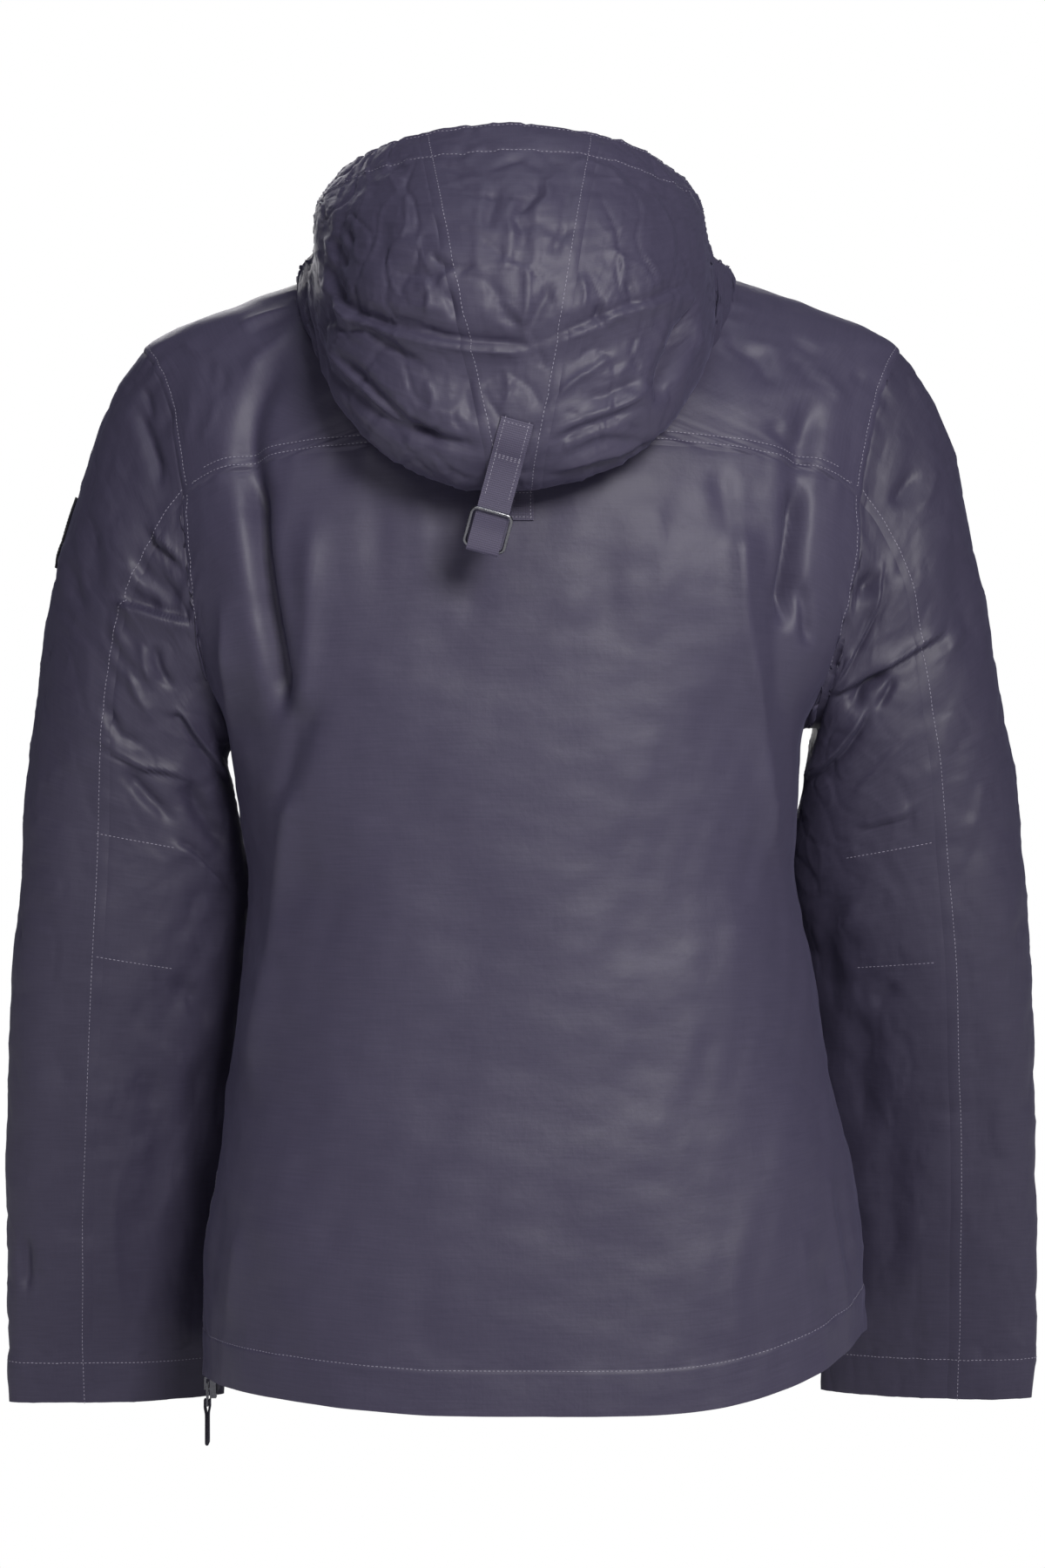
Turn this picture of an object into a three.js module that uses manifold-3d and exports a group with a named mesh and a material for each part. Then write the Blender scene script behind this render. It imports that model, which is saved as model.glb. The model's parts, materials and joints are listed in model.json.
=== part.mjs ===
// Hooded pullover anorak, worn form with nobody in it, in millimetres.
// +Z is up, the front faces -Y, the wearer's left is +X.
// The origin is midway between the shoulders, level with the shoulder seam line.

import * as THREE from 'three';
import { mergeVertices } from 'three/addons/utils/BufferGeometryUtils.js';
import Module from 'manifold-3d';

const wasm = await Module();
wasm.setup();

// Driving dimensions
const WALL = 2.0; // padded shell cloth
const STRAP_WALL = 1.4; // folded strap cloth
const TAPE_WALL = 1.0;
const SEAM_GAP = 0.36;
const LIE_GAP = 0.35; // clearance of what lies on a panel
const FACET_ROOM = 0.2; // more room where the faces of two pieces differ
const LONGEST_MITRE = 1.2; // most that a seam's mitre lengthens a wall

const SHOULDER_TIP_Z = -43;
const UNDERARM_Z = -290;
const ARMHOLE_HALF_DEPTH = 66;
const ARMHOLE_EGG = 0.2; // narrower towards the shoulder tip
const SEAM_ANGLE = 79.5; // where the yoke corner and the sleeve seam meet the armhole
const HEM_Z = -715;
// The hem rises towards both sides: how much, from how far off the middle, over what width, how late
const HEM_RISE_LEFT = { lift: 8, from: 60, run: 140, late: 1 };
const HEM_RISE_RIGHT = { lift: 36, from: 60, run: 160, late: 2.6 };
const HEM_RISE_SHARE = 1.6; // the rise fades out over this part of the side, counted from the hem
const RIGHT_SLEEVE_FORWARD = 16; // the right cuff hangs further forward, clear of the hem's corner
const SLEEVE_CLEAR = 3; // the sleeve hangs this far from the body's side
const BACK_SEAM_DROP = 31;
const FRONT_SEAM_DROP = -8;
const SEAM_FADE = 120; // the rows of a panel are level again this far below its corners
const FRONT_SWEEP = 150; // rough angle from the left to the right edge of the front

const NECK = { half: 143, back: 108, front: 98, square: 2.7, shift: 4 };
const NECK_CORNER = 40; // plan angle of the neck point that faces a yoke corner
const BRIM_CORNER = 20;
const CENTRE_PANEL_NECK = 15; // half width of the hood's centre panel at the neck
const CENTRE_PANEL_BRIM = 56;

const ZIP_TOP_Z = -382;
const ZIP_BOTTOM_Z = -722;
const ZIP_GAP = 4.5; // half the slot between the two panel edges
const ZIP_MOUTH = 14; // the slot opens over this height
const TAPE_HALF = 12;
const TAPE_DEPTH = 3.5; // below the panels' outer face
const TAPE_ABOVE = 9; // the tape starts this far above the slot
const TAPE_TUCK = 4.5; // further in at the hem
const TAPE_TUCK_Z = -655;
const TAPE_TUCK_RUN = 50;

// Slider at the lower end of the side zip, with its pull tab hanging
const SLIDER = { top: -712.8, bottom: -726.5, half: 4.4, thick: 4, corner: 1.5 };
const BAIL = { half: 1.4, reach: 4.1, strip: 1, clear: 2.9, sunk: 0.4 };
const TAB = { pin: 0.8, axis: 1.9, axisZ: -717, half: 3.5, hole: 2.2, window: 6, long: 15, thick: 1.2 };
const HOLE_CORNER = 0.4;
const PULL = { top: -727.5, bottom: -757.5, half: 4, thick: 4.4, corner: 3.4, pocket: 5.2 };

// Strap of the hood: it runs down a line that slants to the wearer's left
const STRAP = { half: 10, x: 3, z: -106, slant: 15.4, onHood: 24 };
const STRAP_RING = { wire: 1.1, half: 12.4, corner: 3.5, topDown: 56.5, topY: 184, lowDown: 79, lowY: 176 };
// The strap past the hood: offsets from a bar of the ring or the anchor, and turns round that bar
const STRAP_RUN = [
  { near: 'top', down: -22.5, out: 1.5, turnDown: 0, turnOut: -1 },
  { near: 'top', down: -6, out: 0, turnDown: 0, turnOut: -1 },
  { near: 'top', down: 1, out: -0.2, turnDown: 0, turnOut: -1 },
  { near: 'low', down: -12, out: 0.4, turnDown: 0, turnOut: 1 },
  { near: 'low', down: -3, out: 0, turnDown: 0, turnOut: 1 },
  { near: 'low', down: 0, out: 0, turnDown: 0.72, turnOut: 0.72 },
  { near: 'low', down: 0, out: 0, turnDown: 1, turnOut: 0 },
  { near: 'low', down: 0, out: 0, turnDown: 0.6, turnOut: -0.85 },
  { near: 'low', down: -5, out: -1, turnDown: 0, turnOut: -1 },
  { near: 'low', down: -17, out: -14, turnDown: 0, turnOut: 0 },
  { near: 'anchor', down: -27, out: 4, turnDown: 0, turnOut: 0 },
  { near: 'anchor', down: -31, out: 0, turnDown: 0, turnOut: 0 },
  { near: 'anchor', down: -37, out: 0, turnDown: 0, turnOut: 0 },
];
const ANCHOR = { x: 5, z: -152, half: 12, tall: 9.5, wall: 1.2 };
const PATCH = { top: -138, bottom: -184, from: -42, to: 7, wall: 1.2 };

const SIDE_CROWDING = 0.35; // columns stand closer together near the side seams
const COLUMNS = { arm: 10, back: 18, front: 12, centre: 2 };
const ROWS = { armhole: 6, body: 13, yoke: 5, sleeve: 18, hood: 17, tape: 12 };
const FAR_BEHIND = 400; // lines of sight start here, clear of the whole garment

// Share of the way across a body panel, with the columns closer together at its sides
const crowded = (t) => t - (SIDE_CROWDING * Math.sin(2 * Math.PI * t)) / (2 * Math.PI);

// Level sections of the body: half width, depth to the back and to the front, sideways shift, squareness
const BODY = [
  { z: 20, half: 92, back: 24, front: 22, shift: 3, square: 2.0 },
  { z: 3, half: 144, back: 38, front: 36, shift: 3, square: 2.0 },
  { z: -11.5, half: 187, back: 51, front: 47, shift: 2, square: 2.0 },
  { z: -28, half: 229, back: 65, front: 59, shift: 1, square: 2.0 },
  { z: -43, half: 247, back: 76, front: 70, shift: 0, square: 2.0 },
  { z: -60, half: 249, back: 90, front: 81, shift: 0, square: 2.0 },
  { z: -81, half: 249, back: 105, front: 92, shift: 0, square: 2.0 },
  { z: -110, half: 248, back: 117, front: 104, shift: 0, square: 2.05 },
  { z: -139, half: 243, back: 125, front: 113, shift: 0, square: 2.15 },
  { z: -180, half: 238, back: 130, front: 122, shift: 0, square: 2.3 },
  { z: -215, half: 227, back: 131, front: 126, shift: 1, square: 2.35 },
  { z: -250, half: 211, back: 131, front: 129, shift: 3, square: 2.4 },
  { z: -290, half: 189, back: 131, front: 131, shift: 4, square: 2.4 },
  { z: -325, half: 184, back: 131, front: 131, shift: 3, square: 2.4 },
  { z: -382, half: 178, back: 130, front: 131, shift: 0, square: 2.4 },
  { z: -451, half: 187, back: 130, front: 132, shift: -4, square: 2.4 },
  { z: -512, half: 195, back: 131, front: 133, shift: -5, square: 2.4 },
  { z: -565, half: 205, back: 134, front: 135, shift: -7, square: 2.4 },
  { z: -638, half: 215, back: 138, front: 138, shift: -7, square: 2.4 },
  { z: -715, half: 216, back: 140, front: 140, shift: -8, square: 2.4 },
  { z: -740, half: 216, back: 140, front: 140, shift: -8, square: 2.4 },
];

// Sleeve sections, each from an outer to an inner point: depth, fore-and-aft place, turn of the section,
// and how much further in the wearer's right one lies
const SLEEVE = [
  { at: 0, outX: 247, outZ: -43, inX: 189, inZ: -290, depth: 66, mid: 0, turn: 0, slim: 0 },
  { at: 0.5, outX: 262, outZ: -63, inX: 199, inZ: -293, depth: 64, mid: 0, turn: 0, slim: 0 },
  { at: 1, outX: 277, outZ: -93, inX: 203, inZ: -298, depth: 62, mid: 0, turn: 0, slim: 0 },
  { at: 2, outX: 291, outZ: -136, inX: 204, inZ: -307, depth: 60, mid: 0, turn: 0, slim: 3 },
  { at: 3, outX: 304, outZ: -182, inX: 200, inZ: -318, depth: 58, mid: -2, turn: 2, slim: 7 },
  { at: 4, outX: 314, outZ: -236, inX: 195, inZ: -333, depth: 56, mid: -5, turn: 5, slim: 7 },
  { at: 5, outX: 321, outZ: -291, inX: 190, inZ: -352, depth: 54, mid: -10, turn: 9, slim: 3 },
  { at: 6, outX: 327, outZ: -347, inX: 188, inZ: -378, depth: 51, mid: -15, turn: 12, slim: 1 },
  { at: 7, outX: 332, outZ: -405, inX: 189, inZ: -417, depth: 49, mid: -20, turn: 15, slim: 0 },
  { at: 8, outX: 336, outZ: -467, inX: 192, inZ: -470, depth: 46, mid: -27, turn: 18, slim: 0 },
  { at: 9, outX: 339, outZ: -533, inX: 196, inZ: -534, depth: 41, mid: -35, turn: 20, slim: 0 },
  { at: 10, outX: 341, outZ: -601, inX: 200, inZ: -602, depth: 34, mid: -44, turn: 22, slim: 0 },
  { at: 11, outX: 342, outZ: -669, inX: 202, inZ: -671, depth: 26, mid: -55, turn: 25, slim: 0 },
  { at: 12, outX: 341, outZ: -735, inX: 203, inZ: -739, depth: 19, mid: -65, turn: 28, slim: 0 },
];
// The stretch along which a sleeve hangs against the body's side: where it comes near and leaves again
const SLEEVE_HANG = { from: 2.5, to: 5, leave: 9.3, gone: 11.5 };
const SIDE_ANGLES = [120, 135, 150, 165, 180]; // where round a sleeve its room to the body is measured
const FORWARD_FROM = 6; // the right sleeve swings forward between these places along it
const FORWARD_TO = 10;

// Loops of the hood from the neck seam, over the roll, round the hanging bag and up to the brim.
// The sag says how fast a loop falls from its sides to the middle, and the tilt lifts its left side.
const HOOD = [
  {
    at: 1, half: 140, back: 119, front: 101, square: 2.9, shift: 5,
    backZ: -74, sideZ: 12, frontZ: -84, sag: 0.37, tilt: 0,
  },
  {
    at: 2, half: 136, back: 135, front: 102, square: 3.2, shift: 6,
    backZ: -92, sideZ: 17, frontZ: -77, sag: 0.37, tilt: 0,
  },
  {
    at: 3, half: 131, back: 155, front: 103, square: 3.5, shift: 6,
    backZ: -146, sideZ: 22, frontZ: -70, sag: 0.37, tilt: 0,
  },
  {
    at: 4, half: 130, back: 185, front: 103, square: 3.3, shift: 6,
    backZ: -126, sideZ: 27, frontZ: -62, sag: 0.37, tilt: 0,
  },
  {
    at: 5, half: 127, back: 194, front: 103, square: 3.0, shift: 6,
    backZ: -68, sideZ: 33, frontZ: -54, sag: 0.37, tilt: 0,
  },
  {
    at: 6, half: 127, back: 203, front: 102, square: 2.8, shift: 7,
    backZ: -42, sideZ: 38, frontZ: -46, sag: 0.4, tilt: 0,
  },
  {
    at: 7, half: 126, back: 191, front: 100, square: 2.5, shift: 8,
    backZ: 16, sideZ: 45, frontZ: -32, sag: 0.55, tilt: 1,
  },
  {
    at: 8, half: 122, back: 153, front: 96, square: 2.3, shift: 8,
    backZ: 70, sideZ: 51, frontZ: -14, sag: 0.9, tilt: 3,
  },
  {
    at: 9, half: 118, back: 140, front: 93, square: 2.3, shift: 8,
    backZ: 82, sideZ: 56, frontZ: -9, sag: 1.0, tilt: 3,
  },
];

// The largest folds of the back, as lines seen from behind
const BACK_FOLDS = [
  { x1: 160, z1: -60, x2: 174, z2: -125, wide: 15, deep: 9 },
  { x1: 174, z1: -125, x2: 155, z2: -284, wide: 15, deep: 14 },
  { x1: -183, z1: -80, x2: -170, z2: -225, wide: 14, deep: 13 },
  { x1: 150, z1: -300, x2: 182, z2: -520, wide: 14, deep: -3 },
  { x1: -146, z1: -180, x2: -160, z2: -340, wide: 13, deep: -3 },
];

// The largest folds of a sleeve: place along and round it, and their spread and depth
const SLEEVE_FOLDS = [
  { at: 3.1, angle: 105, along: 0.34, round: 46, lean: 0.012, deep: 5 },
  { at: 4.5, angle: 110, along: 0.36, round: 48, lean: -0.014, deep: 6 },
  { at: 5.7, angle: 118, along: 0.34, round: 42, lean: 0.012, deep: 5 },
  { at: 7.0, angle: 112, along: 0.34, round: 40, lean: -0.01, deep: 4 },
  { at: 3.8, angle: -100, along: 0.36, round: 46, lean: -0.012, deep: 5 },
  { at: 5.2, angle: -108, along: 0.36, round: 44, lean: 0.012, deep: 5 },
];

const FOLD_BASE = 60; // sleeve half depth to which the fold depths belong
const CAP_END = 2.2; // place along the sleeve at which the armhole's own shape has faded out
const ROW_CROWDING = 1.25; // rows of a sleeve stand closer together over the shoulder

const COLOURS = {
  shell: 0x4b4759,
  sleeve: 0x433f51,
  dark: 0x24222c,
  metal: 0x5a5c60,
};

const radians = (degrees) => (degrees * Math.PI) / 180;
const mix = (a, b, t) => a + (b - a) * t;
const clamp = (value, low, high) => Math.min(high, Math.max(low, value));
const smooth = (t) => {
  const s = clamp(t, 0, 1);
  return s * s * (3 - 2 * s);
};
const power = (value, exponent) => Math.sign(value) * Math.abs(value) ** exponent;

// A smooth curve through one column of a table, which never swings past its values
function tableCurve(rows, key, name) {
  const ordered = [...rows].sort((a, b) => a[key] - b[key]);
  const at = ordered.map((row) => row[key]);
  const value = ordered.map((row) => row[name]);
  const last = at.length - 1;
  const slope = at.slice(1).map((place, i) => (value[i + 1] - value[i]) / (place - at[i]));
  const tangent = at.map((_, i) => {
    if (i === 0) return slope[0];
    if (i === last) return slope[last - 1];
    if (slope[i - 1] * slope[i] <= 0) return 0;
    return (2 * slope[i - 1] * slope[i]) / (slope[i - 1] + slope[i]);
  });
  return (place) => {
    if (place <= at[0]) return value[0];
    if (place >= at[last]) return value[last];
    let i = 0;
    while (place > at[i + 1]) i += 1;
    const span = at[i + 1] - at[i];
    const t = (place - at[i]) / span;
    const rise = t * t * (3 - 2 * t);
    const easeIn = t * (1 - t) * (1 - t) * span;
    const easeOut = -t * t * (1 - t) * span;
    return mix(value[i], value[i + 1], rise) + easeIn * tangent[i] + easeOut * tangent[i + 1];
  };
}

// One smooth curve for each column of a table
function tableCurves(rows, key) {
  const names = Object.keys(rows[0]).filter((name) => name !== key);
  return Object.fromEntries(names.map((name) => [name, tableCurve(rows, key, name)]));
}

const body = tableCurves(BODY, 'z');
const sleeve = tableCurves(SLEEVE, 'at');

// Distance-weighted depth of the back's folds at a place seen from behind
function backFoldDepth(x, z) {
  let depth = 0;
  for (const fold of BACK_FOLDS) {
    const runX = fold.x2 - fold.x1;
    const runZ = fold.z2 - fold.z1;
    const t = ((x - fold.x1) * runX + (z - fold.z1) * runZ) / (runX * runX + runZ * runZ);
    const near = clamp(t, 0, 1);
    const away = Math.hypot(x - fold.x1 - near * runX, z - fold.z1 - near * runZ);
    depth += fold.deep * Math.exp(-((away / fold.wide) ** 2));
  }
  return depth;
}

// A point of the body surface: angle 0 at the wearer's left, 90 at the back
function bodyPoint(angle, z) {
  const c = Math.cos(radians(angle));
  const s = Math.sin(radians(angle));
  const bend = 2 / body.square(z);
  const depth = s > 0 ? body.back(z) : body.front(z);
  const point = new THREE.Vector3(body.shift(z) + body.half(z) * power(c, bend), depth * power(s, bend), z);
  if (s > 0) point.y -= backFoldDepth(point.x, z) * smooth(s * 2.5);
  return point;
}

// Half width of a level section at a fore-and-aft place
function bodyReach(y, z) {
  const depth = y > 0 ? body.back(z) : body.front(z);
  const n = body.square(z);
  return body.half(z) * (1 - Math.abs(y / depth) ** n) ** (1 / n);
}

// The angle of the body surface's point at a sideways and fore-and-aft place
function bodyAngle(x, y, z) {
  const bend = body.square(z) / 2;
  const depth = y > 0 ? body.back(z) : body.front(z);
  const c = power((x - body.shift(z)) / body.half(z), bend);
  const s = power(y / depth, bend);
  return THREE.MathUtils.euclideanModulo((Math.atan2(s, c) * 180) / Math.PI + 90, 360) - 90;
}

// The height at which the body surface passes over a place in plan
function bodyHeight(x, y) {
  let low = -200;
  let high = 19;
  for (let i = 0; i < 40; i += 1) {
    const z = (low + high) / 2;
    const depth = y > 0 ? body.back(z) : body.front(z);
    const n = body.square(z);
    const reach = Math.abs((x - body.shift(z)) / body.half(z)) ** n + Math.abs(y / depth) ** n;
    if (reach < 1) low = z;
    else high = z;
  }
  return (low + high) / 2;
}

// A point of the armhole: angle 0 at the shoulder tip, 90 towards the back, 180 under the arm
function armhole(side, angle) {
  const up = Math.cos(radians(angle));
  const z = mix(UNDERARM_Z, SHOULDER_TIP_Z, (1 + up) / 2);
  const round = Math.sin(radians(angle));
  const y = ARMHOLE_HALF_DEPTH * round * (1 - ARMHOLE_EGG * up);
  return { z, angle: bodyAngle(body.shift(z) + side * bodyReach(y, z), y, z) };
}

function armholePoint(side, angle) {
  const place = armhole(side, angle);
  return bodyPoint(place.angle, place.z);
}

// Armhole angles of the yoke's stretch, from the front corner over the tip to the back corner
const tipAngles = Array.from({ length: COLUMNS.arm + 1 }, (_, i) => {
  return mix(-SEAM_ANGLE, SEAM_ANGLE, i / COLUMNS.arm);
});
// Armhole angles from a yoke corner down to the underarm
const underAngles = Array.from({ length: ROWS.armhole + 1 }, (_, i) => {
  return mix(SEAM_ANGLE, 180, i / ROWS.armhole);
});

// Edge of a body panel at one side: the armhole above the underarm, the side seam below it
function panelEdgeAngle(side, toBack, z, row) {
  const seam = side > 0 ? 0 : 180;
  if (row <= ROWS.armhole) {
    return armhole(side, (toBack ? 1 : -1) * underAngles[row]).angle;
  }
  const zipped = side > 0 ? ZIP_GAP * smooth((ZIP_TOP_Z - z) / ZIP_MOUTH) : 0;
  const depth = toBack ? body.back(z) : body.front(z);
  const n = body.square(z);
  const turn = (Math.asin((zipped / depth) ** (n / 2)) * 180) / Math.PI;
  return seam + (toBack ? 1 : -1) * side * turn;
}

// How far the hem rises at a sideways place
function hemRise(x) {
  const { lift, from, run, late } = x > 0 ? HEM_RISE_LEFT : HEM_RISE_RIGHT;
  return lift * clamp((Math.abs(x) - from) / run, 0, 1) ** late;
}

// The same angle a whole number of turns away, nearest to a goal
const nearestTurn = (angle, goal) => angle - 360 * Math.round((angle - goal) / 360);

// One body panel from the yoke seam to the hem, with the left edge first
function bodyPanel(toBack) {
  const columns = toBack ? COLUMNS.back : COLUMNS.front;
  const seamDrop = toBack ? BACK_SEAM_DROP : FRONT_SEAM_DROP;
  const cornerZ = armhole(1, SEAM_ANGLE).z;
  const rows = ROWS.armhole + ROWS.body;
  const grid = [];
  for (let r = 0; r <= rows; r += 1) {
    const armRow = r <= ROWS.armhole;
    const down = (r - ROWS.armhole) / ROWS.body;
    const level = armRow ? armhole(1, underAngles[r]).z : mix(UNDERARM_Z, HEM_Z, down);
    const left = panelEdgeAngle(1, toBack, level, r);
    let right = panelEdgeAngle(-1, toBack, level, r);
    if (!toBack) right = nearestTurn(right, left - FRONT_SWEEP);
    const line = [];
    for (let i = 0; i <= columns; i += 1) {
      const across = (2 * i) / columns - 1;
      const angle = mix(left, right, crowded(i / columns));
      const seamLift = seamDrop * (1 - across * across) * (1 - smooth((cornerZ - level) / SEAM_FADE));
      const flat = bodyPoint(angle, level + seamLift);
      const lift = armRow ? 0 : hemRise(flat.x) * smooth(1 - HEM_RISE_SHARE * (1 - down));
      line.push(bodyPoint(angle, level + seamLift + lift));
    }
    grid.push(line);
  }
  return grid;
}

// Place of a neck seam point by its angle in plan
function neckPlan(angle) {
  const c = Math.cos(radians(angle));
  const s = Math.sin(radians(angle));
  const bend = 2 / NECK.square;
  const depth = s > 0 ? NECK.back : NECK.front;
  return { x: NECK.shift + NECK.half * power(c, bend), y: depth * power(s, bend) };
}

// The columns that the yoke and the hood share, round from the left front corner
function ringColumns() {
  const list = [];
  const neckBackX = (s) => {
    const edge = COLUMNS.centre / (COLUMNS.back / 2);
    const reach = neckPlan(NECK_CORNER).x - NECK.shift;
    const size = Math.abs(s);
    const inner = (CENTRE_PANEL_NECK * size) / edge;
    const outer = mix(CENTRE_PANEL_NECK, reach, (size - edge) / (1 - edge));
    return NECK.shift + Math.sign(s) * (size <= edge ? inner : outer);
  };
  const neckAtX = (x) => {
    const across = Math.abs((x - NECK.shift) / NECK.half);
    return { x, y: NECK.back * (1 - across ** NECK.square) ** (1 / NECK.square) };
  };
  for (let i = 0; i < COLUMNS.arm; i += 1) {
    const t = i / COLUMNS.arm;
    const neck = neckPlan(mix(-NECK_CORNER, NECK_CORNER, t));
    list.push({ part: 'left', i, neck, brim: mix(-BRIM_CORNER, BRIM_CORNER, t) });
  }
  for (let i = 0; i < COLUMNS.back; i += 1) {
    const s = 1 - (2 * i) / COLUMNS.back;
    list.push({ part: 'back', i, neck: neckAtX(neckBackX(s)), brimAcross: s });
  }
  for (let i = 0; i < COLUMNS.arm; i += 1) {
    const t = i / COLUMNS.arm;
    const neck = neckPlan(mix(180 - NECK_CORNER, 180 + NECK_CORNER, t));
    list.push({ part: 'right', i, neck, brim: mix(180 - BRIM_CORNER, 180 + BRIM_CORNER, t) });
  }
  for (let i = 0; i < COLUMNS.front; i += 1) {
    const t = i / COLUMNS.front;
    const neck = neckPlan(mix(180 + NECK_CORNER, 360 - NECK_CORNER, t));
    list.push({ part: 'front', i, neck, brim: mix(180 + BRIM_CORNER, 360 - BRIM_CORNER, t) });
  }
  return list;
}

const backPanel = bodyPanel(true);
const frontPanel = bodyPanel(false);
const ring = ringColumns();

// Outer edge of the yoke at a column: an armhole or one of the two yoke seams
function yokeEdge(column) {
  if (column.part === 'left') return armhole(1, tipAngles[column.i]);
  if (column.part === 'right') return armhole(-1, tipAngles[COLUMNS.arm - column.i]);
  const toBack = column.part === 'back';
  const columns = toBack ? COLUMNS.back : COLUMNS.front;
  const fromLeft = toBack ? column.i : columns - column.i;
  const corner = armhole(1, toBack ? SEAM_ANGLE : -SEAM_ANGLE);
  const other = armhole(-1, toBack ? SEAM_ANGLE : -SEAM_ANGLE);
  const right = toBack ? other.angle : nearestTurn(other.angle, corner.angle - FRONT_SWEEP);
  const across = (2 * fromLeft) / columns - 1;
  const drop = toBack ? BACK_SEAM_DROP : FRONT_SEAM_DROP;
  const angle = mix(corner.angle, right, crowded(fromLeft / columns));
  return { angle, z: corner.z + drop * (1 - across * across) };
}

// The yoke: a ring from the neck seam out to the armholes and the two yoke seams
function yokeGrid() {
  const grid = [];
  const ends = ring.map((column) => {
    const z = bodyHeight(column.neck.x, column.neck.y);
    const neck = { z, angle: bodyAngle(column.neck.x, column.neck.y, z) };
    const edge = yokeEdge(column);
    return { neck, edge: { z: edge.z, angle: nearestTurn(edge.angle, neck.angle) } };
  });
  for (let r = 0; r <= ROWS.yoke; r += 1) {
    const t = r / ROWS.yoke;
    grid.push(ends.map(({ neck, edge }) => {
      return bodyPoint(mix(neck.angle, edge.angle, t), mix(neck.z, edge.z, t));
    }));
  }
  return grid;
}

const yoke = yokeGrid();

// A point of one hood loop by its plan angle
function hoodLoopPoint(loop, angle) {
  const c = Math.cos(radians(angle));
  const s = Math.sin(radians(angle));
  const bend = 2 / loop.square;
  const across = power(c, bend);
  const fall = (1 - Math.min(1, across * across)) ** loop.sag;
  const endZ = s > 0 ? loop.backZ : loop.frontZ;
  const depth = s > 0 ? loop.back : loop.front;
  const z = mix(loop.sideZ, endZ, fall) + loop.tilt * across;
  return new THREE.Vector3(loop.shift + loop.half * across, depth * power(s, bend), z);
}

// The plan angle at which a loop reaches a sideways place at the back
function hoodLoopAngle(loop, x) {
  const across = clamp((x - loop.shift) / loop.half, -1, 1);
  return (Math.acos(power(across, loop.square / 2)) * 180) / Math.PI;
}

// Plan angle of a column on a hood loop, which drifts from the neck's spacing to the brim's
function hoodColumnAngle(column, loop) {
  const share = smooth((loop.at - 1) / 8);
  const neckAngle = hoodLoopAngle(loop, column.neck.x);
  if (column.part === 'back') {
    const edge = COLUMNS.centre / (COLUMNS.back / 2);
    const size = Math.abs(column.brimAcross);
    const corner = hoodLoopPoint(loop, BRIM_CORNER).x - loop.shift;
    const inner = (CENTRE_PANEL_BRIM * size) / edge;
    const outer = mix(CENTRE_PANEL_BRIM, corner, (size - edge) / (1 - edge));
    const x = loop.shift + Math.sign(column.brimAcross) * (size <= edge ? inner : outer);
    return mix(neckAngle, hoodLoopAngle(loop, x), share);
  }
  const inFront = column.neck.y < 0;
  const start = inFront ? 360 - neckAngle : neckAngle;
  return mix(nearestTurn(start, column.brim), column.brim, share);
}

// A smooth curve through a column's points, from the neck seam to the brim
function hoodColumn(column, neckPoint) {
  const points = [neckPoint, ...HOOD.map((loop) => hoodLoopPoint(loop, hoodColumnAngle(column, loop)))];
  const curve = new THREE.CatmullRomCurve3(points, false, 'centripetal');
  return Array.from({ length: ROWS.hood + 1 }, (_, r) => curve.getPoint(r / ROWS.hood));
}

function hoodGrid() {
  const columns = ring.map((column, i) => hoodColumn(column, yoke[0][i]));
  return Array.from({ length: ROWS.hood + 1 }, (_, r) => columns.map((column) => column[r]));
}

const hood = hoodGrid();

// Sideways place of a sleeve's inner line, so that the sleeve hangs just clear of the body's side
function sleeveInnerX(side, at, mid, outX) {
  const near = Math.max(...SIDE_ANGLES.map((angle) => {
    const share = (1 + Math.cos(radians(angle))) / 2;
    const z = mix(sleeve.inZ(at), sleeve.outZ(at), share);
    const y = mid + sleeve.turn(at) * Math.cos(radians(angle)) + sleeve.depth(at) * Math.sin(radians(angle));
    const clear = bodyReach(y, z) + side * body.shift(z) + SLEEVE_CLEAR;
    return (clear - share * outX) / (1 - share);
  }));
  const come = smooth((at - SLEEVE_HANG.from) / (SLEEVE_HANG.to - SLEEVE_HANG.from));
  const leave = smooth((at - SLEEVE_HANG.leave) / (SLEEVE_HANG.gone - SLEEVE_HANG.leave));
  return mix(sleeve.inX(at), near, come * (1 - leave));
}

// A point of a sleeve's outer face: place along it and angle round it, 0 outside and 90 at the back
function sleevePoint(side, at, angle) {
  const c = Math.cos(radians(angle));
  const s = Math.sin(radians(angle));
  const share = (1 + c) / 2;
  const swing = smooth((at - FORWARD_FROM) / (FORWARD_TO - FORWARD_FROM));
  const mid = sleeve.mid(at) - (side < 0 ? RIGHT_SLEEVE_FORWARD * swing : 0);
  const outX = sleeve.outX(at) - (side < 0 ? sleeve.slim(at) : 0);
  let x = mix(sleeveInnerX(side, at, mid, outX), outX, share);
  let z = mix(sleeve.inZ(at), sleeve.outZ(at), share);
  let dent = 0;
  for (const fold of SLEEVE_FOLDS) {
    const away = THREE.MathUtils.euclideanModulo(angle - fold.angle + 180, 360) - 180;
    const along = at - fold.at - fold.lean * away * side;
    dent += fold.deep * Math.exp(-((along / fold.along) ** 2) - (away / fold.round) ** 2);
  }
  const grow = 1 - dent / FOLD_BASE;
  let y = mid + sleeve.turn(at) * c + sleeve.depth(at) * s * grow;
  const hang = 1 - smooth(at / CAP_END);
  if (hang > 0) {
    const seam = armholePoint(1, angle);
    const plain = {
      x: mix(SLEEVE[0].inX, SLEEVE[0].outX, share),
      y: SLEEVE[0].depth * s,
      z: mix(SLEEVE[0].inZ, SLEEVE[0].outZ, share),
    };
    x += (seam.x - plain.x) * hang;
    y += (seam.y - plain.y) * hang;
    z += (seam.z - plain.z) * hang;
  }
  return new THREE.Vector3(side * x, y, z);
}

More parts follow.
